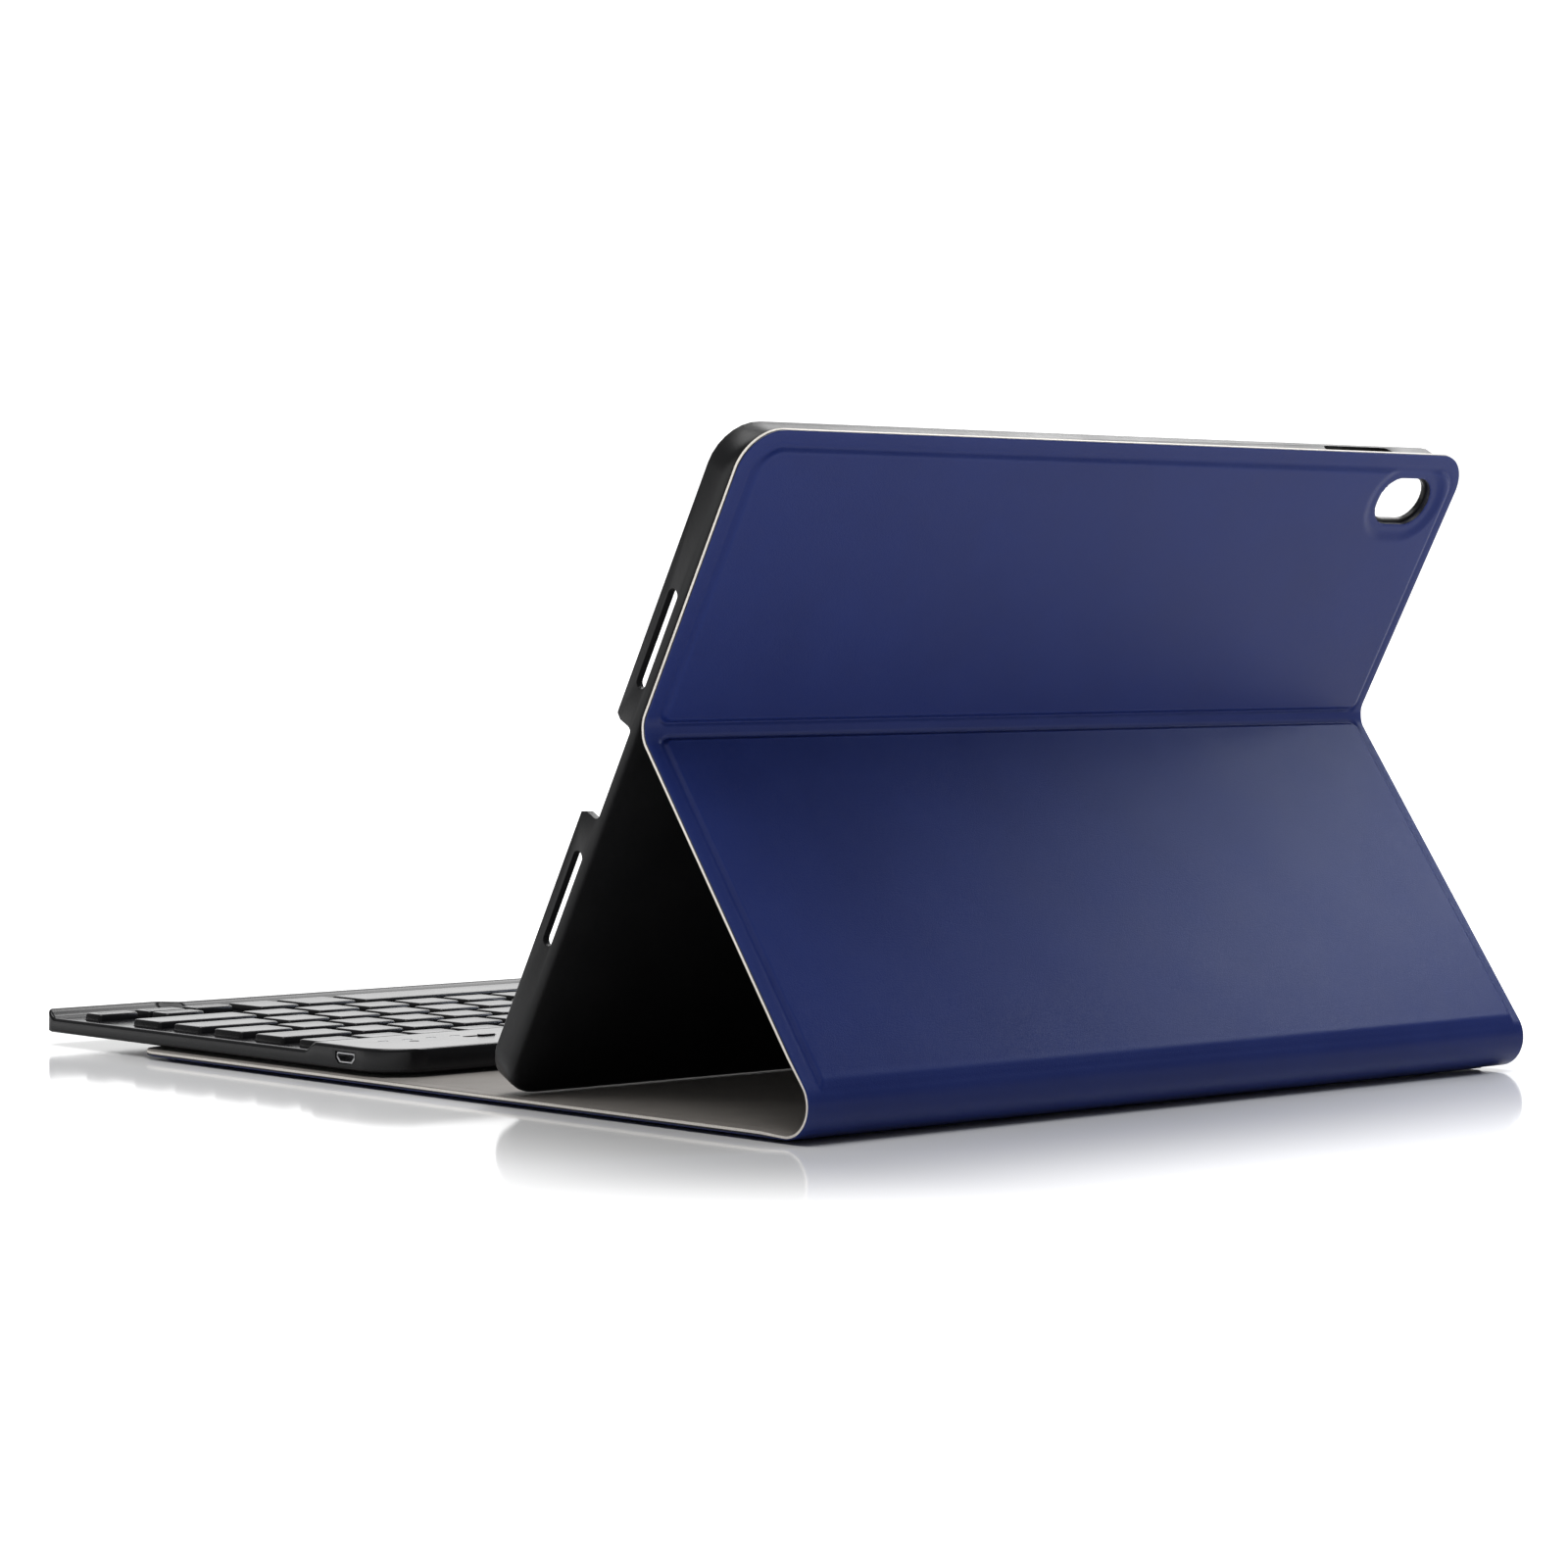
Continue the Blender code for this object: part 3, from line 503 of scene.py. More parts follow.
def subtract(piece, tool_shape, sharp):
    """Cut the closed shapes in tool_shape out of piece; edges over sharp degrees stay sharp."""
    bmesh.ops.recalc_face_normals(tool_shape, faces=tool_shape.faces[:])
    mesh = bpy.data.meshes.new("tool")
    tool_shape.to_mesh(mesh)
    tool_shape.free()
    mesh.materials.append(piece.data.materials[-1])
    tool = link("tool", mesh)
    step = piece.modifiers.new("cut", "BOOLEAN")
    step.operation = "DIFFERENCE"
    step.solver = "EXACT"
    step.material_mode = "TRANSFER"
    step.object = tool
    result = apply_modifiers(piece)
    bpy.data.objects.remove(tool)
    result.shade_smooth()
    result.set_sharp_from_angle(angle=math.radians(sharp))


def sheet_faces(rows, columns):
    """Faces of a closed slab on two grids, with 0 for the top, 1 for the bottom and 2 for the cut edges."""
    half = rows * columns
    faces, slots = [], []

    def at(r, c, under=0):
        return r * columns + c + half * under

    def wall(a, b, flip):
        side = (at(*a), at(*a, 1), at(*b, 1), at(*b))
        faces.append(side[::-1] if flip else side)
        slots.append(2)

    for r in range(rows - 1):
        for c in range(columns - 1):
            faces.append((at(r, c), at(r + 1, c), at(r + 1, c + 1), at(r, c + 1)))
            slots.append(0)
            faces.append((at(r, c, 1), at(r, c + 1, 1), at(r + 1, c + 1, 1), at(r + 1, c, 1)))
            slots.append(1)
        for c, flip in ((0, False), (columns - 1, True)):
            wall((r, c), (r + 1, c), flip)
    for c in range(columns - 1):
        for r, flip in ((0, True), (rows - 1, False)):
            wall((r, c), (r, c + 1), flip)
    return faces, slots


def add_sheet_data(mesh, x, t, wear):
    """Write the sheet's texture coordinates and wear, and return the vertex of each face corner."""
    uv = np.column_stack([np.tile(x, 2), np.tile(t, 2)]) / 100.0
    corners = np.zeros(len(mesh.loops), dtype=np.int64)
    mesh.loops.foreach_get("vertex_index", corners)
    layer = mesh.uv_layers.new(name="UVMap")
    layer.data.foreach_set("uv", uv[corners].astype(np.float32).reshape(-1))
    if wear is not None:
        attribute = mesh.attributes.new("wear", "FLOAT", "POINT")
        attribute.data.foreach_set("value", np.tile(wear, 2).astype(np.float32))
    return corners


def sheet_piece(name, top, bottom, t0, t1, skins, wear=None):
    """A closed slice of the sheet between two seams. skins: top, bottom and cut-edge materials."""
    rows = [i for i, t in enumerate(ROWS_T) if t0 - 1e-6 <= t <= t1 + 1e-6]
    part = slice(rows[0], rows[-1] + 1)
    sides = (place(top), 1), (place(bottom), -1)
    coords = np.vstack([points[part].reshape(-1, 3) for points, _ in sides])
    normals = np.vstack([grid_normals(points, out)[part].reshape(-1, 3) for points, out in sides])
    faces, slots = sheet_faces(len(rows), len(COLUMNS))
    mesh = bpy.data.meshes.new(name)
    mesh.from_pydata(coords.tolist(), [], faces)
    for skin in skins:
        mesh.materials.append(skin)
    mesh.polygons.foreach_set("material_index", slots)
    first = mesh.polygons[0]
    out = PATH.spot((ROWS_T[rows[0]] + ROWS_T[rows[1]]) / 2)[1]
    if first.normal[1] * out[0] + first.normal[2] * out[1] < 0:
        mesh.flip_normals()
    rubbed = None if wear is None else wear[part].ravel()
    corners = add_sheet_data(mesh, GRID_X[part].ravel(), GRID_T[part].ravel(), rubbed)
    mesh.shade_smooth()
    split = [None] * len(mesh.loops)
    for face in mesh.polygons:
        flat = face.material_index == 2
        for loop in face.loop_indices:
            split[loop] = tuple(face.normal) if flat else tuple(normals[corners[loop]])
    mesh.normals_split_custom_set(split)
    mesh.update()
    return link(name, mesh)


def stadium(cx, cy, half_x, half_y, steps=24):
    """Outline of a slot with round ends, counter-clockwise."""
    straight = half_x - half_y
    ring = []
    for side in (1, -1):
        for k in range(steps + 1):
            a = math.pi * k / steps - math.pi / 2
            ring.append((cx + side * (straight + half_y * math.cos(a)), cy + side * half_y * math.sin(a)))
    return ring


def cut_camera_hole(piece):
    """Open the camera hole through a slice of the upper panel."""
    ring = stadium(CAMERA_X, CAMERA_T, *CAMERA_HALF)
    shape = bmesh.new()
    close_skin(shape, [[shape.verts.new(PATH.world(x, t, w)) for x, t in ring] for w in CAMERA_CUT])
    subtract(piece, shape, 50.0)


# ---------------------------------------------------------------- materials

def shader_nodes(name):
    made = bpy.data.materials.new(name)
    made.use_nodes = True
    tree = made.node_tree
    return made, tree, tree.nodes["Principled BSDF"]


def add(tree, kind, inputs=None, **settings):
    """A new node with these settings, and its inputs linked or set."""
    made = tree.nodes.new(kind)
    for key, value in settings.items():
        setattr(made, key, value)
    for key, value in (inputs or {}).items():
        if isinstance(value, bpy.types.NodeSocket):
            tree.links.new(value, made.inputs[key])
        else:
            made.inputs[key].default_value = value
    return made


def blend_colour(tree, factor, a, b):
    mix = tree.nodes.new("ShaderNodeMix")
    mix.data_type = "RGBA"
    tree.links.new(factor, mix.inputs[0])
    for socket, value in ((mix.inputs[6], a), (mix.inputs[7], b)):
        if isinstance(value, bpy.types.NodeSocket):
            tree.links.new(value, socket)
        else:
            socket.default_value = (*value, 1.0)
    return mix.outputs[2]


def ramp(tree, value, low, high, out_low=0.0, out_high=1.0):
    scaled = add(tree, "ShaderNodeMapRange", {0: value, 1: low, 2: high, 3: out_low, 4: out_high})
    return scaled.outputs[0]


def noise(tree, spot, scale, detail=2.0, rough=0.5):
    settings = {"Vector": spot, "Scale": scale, "Detail": detail, "Roughness": rough}
    return add(tree, "ShaderNodeTexNoise", settings).outputs["Fac"]


def drift(tree, value, low=0.0, high=1.0):
    """The usual range of a noise, stretched over low to high."""
    return ramp(tree, value, 0.3, 0.7, low, high)


def relief(tree, height, strength, distance, under=None):
    settings = {"Height": height, "Strength": strength, "Distance": distance}
    if under is not None:
        settings["Normal"] = under
    return add(tree, "ShaderNodeBump", settings).outputs["Normal"]


def finish_look(tree, shader, colour, rough, normal, plain=None):
    """Wire the three textured inputs of a surface and set its plain ones."""
    tree.links.new(colour, shader.inputs["Base Color"])
    tree.links.new(rough, shader.inputs["Roughness"])
    tree.links.new(normal, shader.inputs["Normal"])
    for key, value in (plain or {}).items():
        shader.inputs[key].default_value = value


def shade(colour, share):
    return tuple(min(1.0, c * share) for c in colour)


def plastic(name, colour, rough, grain, depth, uneven=0.06, metal=0.0, tint=0.12, specular=0.5):
    """Moulded or metal surface: fine moulded texture, cloudy roughness and a little colour drift."""
    made, tree, shader = shader_nodes(name)
    spot = add(tree, "ShaderNodeTexCoord").outputs["Object"]
    fine = noise(tree, spot, grain, 3.0, 0.6)
    cloud = noise(tree, spot, 45.0, 4.0, 0.55)
    speck = noise(tree, spot, grain * 0.35)
    light = shade(colour, 1 + tint)
    tone = blend_colour(tree, drift(tree, cloud), shade(colour, 1 - tint), light)
    tone = blend_colour(tree, ramp(tree, speck, 0.52, 0.8, 0.0, 0.35), tone, light)
    rough_out = drift(tree, cloud, rough - uneven, rough + uneven)
    plain = {"Metallic": metal, "Specular IOR Level": specular}
    finish_look(tree, shader, tone, rough_out, relief(tree, fine, 0.6, depth), plain)
    return made


def brushed(name, colour, rough):
    """Metal with fine drawn lines along X."""
    made, tree, shader = shader_nodes(name)
    spot = add(tree, "ShaderNodeTexCoord").outputs["Object"]
    drawn = add(tree, "ShaderNodeMapping", {"Vector": spot, "Scale": (120.0, 9000.0, 9000.0)})
    lines = noise(tree, drawn.outputs[0], 1.0, 3.0)
    cloud = noise(tree, spot, 160.0, 3.0)
    tone = blend_colour(tree, lines, shade(colour, 0.8), colour)
    rough_out = drift(tree, cloud, rough - 0.07, rough + 0.1)
    finish_look(tree, shader, tone, rough_out, relief(tree, lines, 0.4, 0.00001), {"Metallic": 1.0})
    return made


def sheet_coordinates(tree):
    return add(tree, "ShaderNodeUVMap", uv_map="UVMap").outputs["UV"]


def leather(name, base, deep, worn):
    """Smooth coated leather: fine pebble grain, cloudy sheen and lighter rubbed ridges."""
    made, tree, shader = shader_nodes(name)
    spot = sheet_coordinates(tree)
    warp = add(tree, "ShaderNodeTexNoise", {"Vector": spot, "Scale": 60.0, "Detail": 2.0})
    push = {0: warp.outputs["Color"], 1: (0.006, 0.006, 0.0)}
    bent = add(tree, "ShaderNodeVectorMath", push, operation="MULTIPLY")
    moved = add(tree, "ShaderNodeVectorMath", {0: spot, 1: bent.outputs[0]}, operation="ADD")
    cells = {"Vector": moved.outputs[0], "Scale": 150.0, "Randomness": 0.9}
    cracks = add(tree, "ShaderNodeTexVoronoi", cells, feature="DISTANCE_TO_EDGE")
    fine = noise(tree, spot, 420.0, 4.0, 0.6)
    cloud = noise(tree, spot, 3.0, 5.0, 0.6)
    pebble = ramp(tree, cracks.outputs["Distance"], 0.0, 0.12)
    tone = blend_colour(tree, drift(tree, cloud), deep, base)
    tone = blend_colour(tree, ramp(tree, fine, 0.45, 0.8, 0.0, 0.3), tone, worn)
    tone = blend_colour(tree, ramp(tree, pebble, 1.0, 0.0, 0.0, 0.28), tone, deep)
    wear = add(tree, "ShaderNodeAttribute", attribute_name="wear").outputs["Fac"]
    rubbed = add(tree, "ShaderNodeMath", {0: wear, 1: fine}, operation="MULTIPLY")
    tone = blend_colour(tree, rubbed.outputs[0], tone, worn)
    sheen = drift(tree, cloud, 0.32, 0.38)
    rough = add(tree, "ShaderNodeMath", {0: sheen, 1: drift(tree, fine, -0.03, 0.04)})
    normal = relief(tree, fine, 0.35, 0.00003, relief(tree, pebble, 0.35, 0.00004))
    finish_look(tree, shader, tone, rough.outputs[0], normal, {"Specular IOR Level": 0.13})
    return made


def microfibre(name, base, deep, pale):
    """Short-napped lining cloth: mottled nap, fibre specks and a soft sheen."""
    made, tree, shader = shader_nodes(name)
    spot = sheet_coordinates(tree)
    stretch = add(tree, "ShaderNodeMapping", {"Vector": spot, "Scale": (1.0, 0.55, 1.0)}).outputs[0]
    nap = noise(tree, stretch, 260.0, 5.0, 0.7)
    mottle = noise(tree, spot, 9.0, 6.0, 0.65)
    fibre = add(tree, "ShaderNodeTexVoronoi", {"Vector": stretch, "Scale": 320.0})
    tone = blend_colour(tree, drift(tree, mottle), deep, base)
    tone = blend_colour(tree, ramp(tree, nap, 0.45, 0.75, 0.0, 0.5), tone, pale)
    tone = blend_colour(tree, ramp(tree, fibre.outputs["Distance"], 0.0, 0.5, 0.35, 0.0), tone, deep)
    plain = {"Specular IOR Level": 0.4, "Sheen Weight": 0.15, "Sheen Roughness": 0.5}
    finish_look(tree, shader, tone, drift(tree, nap, 0.58, 0.74), relief(tree, nap, 0.5, 0.00008), plain)
    return made


def cut_edge(name, colour, rough):
    """Trimmed edge of a sheet: frayed fibres and patches of a darker tone."""
    made, tree, shader = shader_nodes(name)
    spot = add(tree, "ShaderNodeTexCoord").outputs["Object"]
    fray = noise(tree, spot, 2600.0, 3.0)
    patch = noise(tree, spot, 90.0)
    dark = shade(colour, 0.82)
    tone = blend_colour(tree, ramp(tree, fray, 0.35, 0.7), dark, colour)
    tone = blend_colour(tree, ramp(tree, patch, 0.5, 0.8, 0.0, 0.3), tone, dark)
    finish_look(tree, shader, tone, drift(tree, fray, rough - 0.1, rough), relief(tree, fray, 0.4, 0.00003))
    return made


# name, colour, roughness, grain per metre and depth in metres, then what differs from plastic's own values
PLASTICS = (
    ("greyboard", (0.30, 0.27, 0.23), 0.9, 1400.0, 0.00008, {"uneven": 0.04, "tint": 0.2}),
    ("black_shell", (0.0068, 0.007, 0.0078), 0.42, 3200.0, 0.00003,
     {"uneven": 0.04, "tint": 0.15, "specular": 0.3}),
    ("black_deck", (0.010, 0.010, 0.011), 0.17, 3600.0, 0.000003,
     {"uneven": 0.02, "tint": 0.15, "specular": 0.25}),
    ("black_key", (0.0085, 0.0085, 0.0095), 0.2, 3400.0, 0.000003,
     {"uneven": 0.02, "tint": 0.2, "specular": 0.3}),
    ("magnet", (0.42, 0.42, 0.44), 0.35, 2200.0, 0.00001, {"metal": 1.0, "tint": 0.1}),
    ("membrane", (0.55, 0.58, 0.56), 0.5, 900.0, 0.00002, {"uneven": 0.05}),
    ("board_green", (0.02, 0.14, 0.06), 0.45, 1500.0, 0.00003, {"uneven": 0.08, "tint": 0.3}),
    ("battery_foil", (0.50, 0.51, 0.53), 0.35, 700.0, 0.00008, {"uneven": 0.08, "metal": 0.6, "tint": 0.15}),
    ("clear_plastic", (0.42, 0.44, 0.46), 0.2, 2500.0, 0.00001, {"uneven": 0.04, "tint": 0.1}),
    ("foot_rubber", (0.03, 0.03, 0.03), 0.88, 2600.0, 0.00006, {"uneven": 0.05, "tint": 0.25}),
)
NAVY, NAVY_DEEP, NAVY_WORN = (0.0098, 0.0205, 0.115), (0.0077, 0.0162, 0.096), (0.021, 0.036, 0.155)
TAUPE, TAUPE_DEEP, TAUPE_PALE = (0.20, 0.182, 0.165), (0.155, 0.14, 0.127), (0.29, 0.265, 0.24)
LOOKS = {
    "blue_leather": leather("blue_leather_look", NAVY, NAVY_DEEP, NAVY_WORN),
    "microfibre": microfibre("microfibre_look", TAUPE, TAUPE_DEEP, TAUPE_PALE),
    "lining_edge": cut_edge("lining_edge_look", (0.93, 0.88, 0.81), 0.85),
    "leather_edge": cut_edge("leather_edge_look", (0.010, 0.011, 0.020), 0.6),
    "steel": brushed("steel_look", (0.60, 0.60, 0.61), 0.3),
}
for label, *values, changes in PLASTICS:
    LOOKS[label] = plastic(label + "_look", *values, **changes)


# ---------------------------------------------------------------- folio pieces

def build_folio():
    """The leather and the lining as five slices between the seams."""
    top, under = outer_height(GRID_X, GRID_T), leather_under(GRID_X, GRID_T)
    lining_top, lining_low = lining_over(GRID_X, GRID_T), lining_under(GRID_X, GRID_T)
    rim = np.exp(-edge_distance(GRID_X, GRID_T) / 0.9)
    pad = pad_distance(GRID_X, GRID_T)
    ridge = np.exp(-((pad - 1.15) / 0.45) ** 2)
    wear = np.clip(0.55 * rim + 0.4 * ridge, 0.0, 1.0)
    half_fold = 2.1
    spine0 = PATH.at["spine"][0]
    turn = BEND_INNER * PATH.spine_turn
    ease = BEND_INNER * math.radians(4.0)
    slices = (
        ("upper_panel", "shell", "crease", FOLD_UP - half_fold, FOLD_UP + half_fold,
         ("upper_back_leather",), ("shell_bonding_sheet",)),
        ("stand_flap_top", "crease", "stand_flap", FOLD_DOWN - half_fold, FOLD_DOWN + half_fold,
         ("crease_strip",), ()),
        ("stand_flap", "stand_flap", "spine_upper", spine0 + 0.2, spine0 + turn - ease,
         ("stand_flap_leather", "spine_flap_strip"), ("stand_flap_lining",)),
        ("spine", "spine_upper", "spine_lower", spine0 + turn + ease, spine0 + 2 * turn - ease,
         ("spine_upper_strip", "spine_lower_strip"), ()),
        ("front_cover", "spine_lower", "front_cover", spine0 + 2 * turn + ease, FRONT_T[0] - 0.2,
         ("front_cover_leather", "spine_root_strip"), ("front_cover_lining",)),
    )
    leather_skins = (LOOKS["blue_leather"], LOOKS["leather_edge"], LOOKS["leather_edge"])
    lining_skins = (LOOKS["greyboard"], LOOKS["microfibre"], LOOKS["lining_edge"])
    for i, (label, a, b, t_start, t_end, outer_nodes, inner_nodes) in enumerate(slices):
        seams = SEAMS[i:i + 2]
        outer = sheet_piece(label + "_outer_leather", top, under, *seams, leather_skins, wear)
        inner = sheet_piece(label + "_inner_lining", lining_top, lining_low, *seams, lining_skins)
        for piece, slot in ((outer, "blue_leather"), (inner, "microfibre")):
            if i == 0:
                piece.data.materials.append(LOOKS["leather_edge"])
                cut_camera_hole(piece)
            PATH.world(0.0, t_start, 0.0)
            PATH.world(0.0, t_end, 0.0)
            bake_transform(piece)
        if outer_nodes:
            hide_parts(*outer_nodes)
        if inner_nodes:
            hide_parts(*inner_nodes)


# ---------------------------------------------------------------- key caps

def row_keys(row, right, widths):
    """Key rectangles of a row, one after another from its right end."""
    rear, front = ROWS[row]
    keys = []
    x = right
    for wide in widths:
        keys.append((x - wide, x, front, rear))
        x -= wide + KEY_GAP
    return keys


def fill_row(row, right_wide, count, left_wide):
    """A row that spans the keyboard, with equal keys between its two end keys."""
    span = 2 * KEYS_RIGHT - right_wide - left_wide - KEY_GAP * (count + 1)
    return row_keys(row, KEYS_RIGHT, [right_wide] + [span / count] * count + [left_wide])


def key_table():
    """All key rectangles grouped by the CAD node that carries them."""
    table = {}
    for row, (node, count, right, left) in FILLED_ROWS.items():
        keys = fill_row(row, right[0], count, left[0])
        if right[1]:
            table[right[1]] = [keys.pop(0)]
        if left[1]:
            table[left[1]] = [keys.pop()]
        table[node] = keys
    rear, front = ROWS["bottom"]
    middle = (rear + front) / 2
    low_rear, high_front = middle - ARROW_GAP / 2, middle + ARROW_GAP / 2
    right, centre, left = row_keys("bottom", KEYS_RIGHT, [ARROW_WIDE] * 3)
    table["right_arrow_key"] = [(right[0], right[1], front, low_rear)]
    table["down_arrow_key"] = [(centre[0], centre[1], front, low_rear)]
    table["up_arrow_key"] = [(centre[0], centre[1], high_front, rear)]
    table["left_arrow_key"] = [(left[0], left[1], front, low_rear)]
    rest = left[0] - KEY_GAP
    widths = [KEY_WIDE, COMMAND_WIDE, 0.0, COMMAND_WIDE, KEY_WIDE, KEY_WIDE, KEY_WIDE]
    widths[2] = rest + KEYS_RIGHT - sum(widths) - KEY_GAP * (len(widths) - 1)
    names = ("right_option_key", "right_command_key", "space_bar", "left_command_key",
             "left_option_key", "control_key", "globe_key")
    for name, key in zip(names, row_keys("bottom", rest, widths)):
        table[name] = [key]
    return table


def rounded_box(x0, x1, y0, y1, radius, steps=5):
    """Outline of a rounded rectangle, counter-clockwise."""
    ring = []
    corners = ((x1 - radius, y1 - radius, 0), (x0 + radius, y1 - radius, 90),
               (x0 + radius, y0 + radius, 180), (x1 - radius, y0 + radius, 270))
    for cx, cy, start in corners:
        for k in range(steps + 1):
            a = math.radians(start + 90 * k / steps)
            ring.append((cx + radius * math.cos(a), cy + radius * math.sin(a)))
    return ring


def lofted(shape, rings):
    """Closed skin through rings of (outline, z)."""
    loops = [[shape.verts.new((x * MM, y * MM, z * MM)) for x, y in outline] for outline, z in rings]
    close_skin(shape, loops)


def key_cap(shape, x0, x1, y0, y1):
    """A key cap with drafted sides, a rolled rim and a slightly dished top."""
    short = min(x1 - x0, y1 - y0) / 2
    sides = ((0.0, KEY_WEB[1] - 0.06), (0.0, 7.4))
    rim = ((0.16, 8.55), (0.24, 8.80), (0.38, 8.98), (0.58, 9.07), (0.85, KEY_TOP))
    dish = ((1.3, KEY_TOP - 0.015), (2.2, KEY_TOP - 0.06), (0.62 * short, KEY_TOP - 0.11))
    rings = []
    for inset, z in sides + rim + dish:
        radius = max(KEY_CORNER_R - inset * 0.35, 0.5)
        rings.append((rounded_box(x0 + inset, x1 - inset, y0 + inset, y1 - inset, radius), z))
    lofted(shape, rings)


def build_keys():
    """One piece per key node: its caps on the web below the deck that joins them."""
    for name, keys in key_table().items():
        x0, x1 = min(k[0] for k in keys), max(k[1] for k in keys)
        y0, y1 = min(k[2] for k in keys), max(k[3] for k in keys)
        lip = 0.5 if name.endswith("arrow_key") else 1.0
        lip_y = 0.2 if name in ("up_arrow_key", "down_arrow_key") else lip
        shape = bmesh.new()
        web = rounded_box(x0 - lip, x1 + lip, y0 - lip_y, y1 + lip_y, 0.3, 2)
        lofted(shape, [(web, KEY_WEB[0]), (web, KEY_WEB[1])])
        for key in keys:
            key_cap(shape, *key)
        mesh = bpy.data.meshes.new(name + "_cap")
        shape.to_mesh(mesh)
        shape.free()
        mesh.materials.append(LOOKS["black_key"])
        mesh.shade_smooth()
        mesh.set_sharp_from_angle(angle=math.radians(40))
        made = link(name + "_cap", mesh)
        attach(made, name)
        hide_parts(name)


# ---------------------------------------------------------------- keyboard top frame

def front_edge(x):
    """Front edge of the keyboard, stepping back over the thumb notch."""
    return KB_FRONT + KB_NOTCH * smooth(0.0, KB_NOTCH + 1.0, KB_NOTCH_HALF + KB_NOTCH - np.abs(x))


def frame_half(rear_gap, front_gap):
    """Half width of the keyboard at a given distance from its rear and front edges."""
    rear = np.clip(KB_REAR_R - rear_gap, 0.0, KB_REAR_R)
    front = np.clip(KB_FRONT_R - front_gap, 0.0, KB_FRONT_R)
    drawn = KB_REAR_R - np.sqrt(KB_REAR_R ** 2 - rear ** 2)
    return KB_HALF - np.maximum(drawn, KB_FRONT_R - np.sqrt(KB_FRONT_R ** 2 - front ** 2))


def frame_columns(inner):
    """Column positions of the deck, close together at its sides and at the ends of the thumb notch."""
    side = spread(1.2, KB_REAR_R + 1.0, 0.7)
    right = [KB_HALF - d for d in DECK_RIM_STEPS + side]
    notch_start, notch_end = KB_NOTCH_HALF - 1.5, KB_NOTCH_HALF + KB_NOTCH + 1.5
    half = right + spread(notch_start, notch_end, 0.5) + spread(notch_end, inner, 4.0)
    return np.array(merge([-v for v in half] + spread(-notch_start, notch_start, 6.0) + half))


def frame_rows():
    """Distances of the rows from the rear edge, close together at both edges and at the strip's slope."""
    length = KB_REAR - KB_FRONT
    corner, slope, front = 13.0, 29.0, length - 7.5
    rows = DECK_RIM_STEPS + spread(1.2, corner, 0.6) + spread(corner, slope, 4.0)
    rows += spread(slope, DECK_FIXED, 0.35) + spread(DECK_FIXED, front, WIDE_STEP)
    rows += [length - d for d in DECK_RIM_STEPS + spread(1.2, 7.5, 0.35)]
    return np.array(merge(rows)), length


def frame_grid():
    """Grid of the deck: x, y, distance from the rear and front edges, and half width at each row."""
    inner = KB_HALF - KB_REAR_R - 1.0
    columns = frame_columns(inner)
    rows, length = frame_rows()
    v = np.repeat(rows[:, None], len(columns), axis=1)
    u = np.repeat(columns[None, :], len(rows), axis=0)
    reach = KB_REAR - front_edge(u)
    stretched = DECK_FIXED + (v - DECK_FIXED) * (reach - DECK_FIXED) / (length - DECK_FIXED)
    deep = np.where(v < DECK_FIXED, v, stretched)
    front_gap = reach - deep
    half_at = frame_half(deep, front_gap)
    share = (half_at - inner) / (KB_HALF - inner)
    x = np.where(np.abs(u) > inner, np.sign(u) * (inner + (np.abs(u) - inner) * share), u)
    return x, KB_REAR - deep, deep, front_gap, half_at


def strip_openings():
    """Indicator windows, switch slot and button hole in the rear strip."""
    rings = [stadium(x, INDICATOR_Y, 1.5, 0.8, 10) for x in INDICATORS]
    rings.append(stadium(*SWITCH, 5.2, 1.4, 10))
    rings.append(stadium(*DOT, 1.3, 1.29, 10))
    return rings


def usb_outline(grow):
    """Trapezoid mouth of the micro socket."""
    y, z = USB
    wide, narrow, top, shoulder, foot = 3.7 + grow, 2.5 + grow, 1.2 + grow, 0.1 + grow, 1.3 + grow
    return [
        (y - wide, z + top), (y + wide, z + top), (y + wide, z - shoulder),
        (y + narrow, z - foot), (y - narrow, z - foot), (y - wide, z - shoulder),
    ]


def deck_openings():
    """Cutters for the keys, the rear strip's openings and the socket."""
    tool = bmesh.new()
    through, above = 5.0, KB_TOP + 2.5
    for keys in key_table().values():
        for x0, x1, y0, y1 in keys:
            sides = (x0 - KEY_CLEAR, x1 + KEY_CLEAR, y0 - KEY_CLEAR, y1 + KEY_CLEAR)
            box = rounded_box(*sides, 1.2, 3)
            lofted(tool, [(box, through), (box, above)])
    for pit in strip_openings():
        lofted(tool, [(pit, 6.0), (pit, above)])
    socket = usb_outline(0.25)
    reach = (KB_HALF - 6.2, KB_HALF + 3.8)
    close_skin(tool, [[tool.verts.new((x * MM, y * MM, z * MM)) for y, z in socket] for x in reach])
    return tool


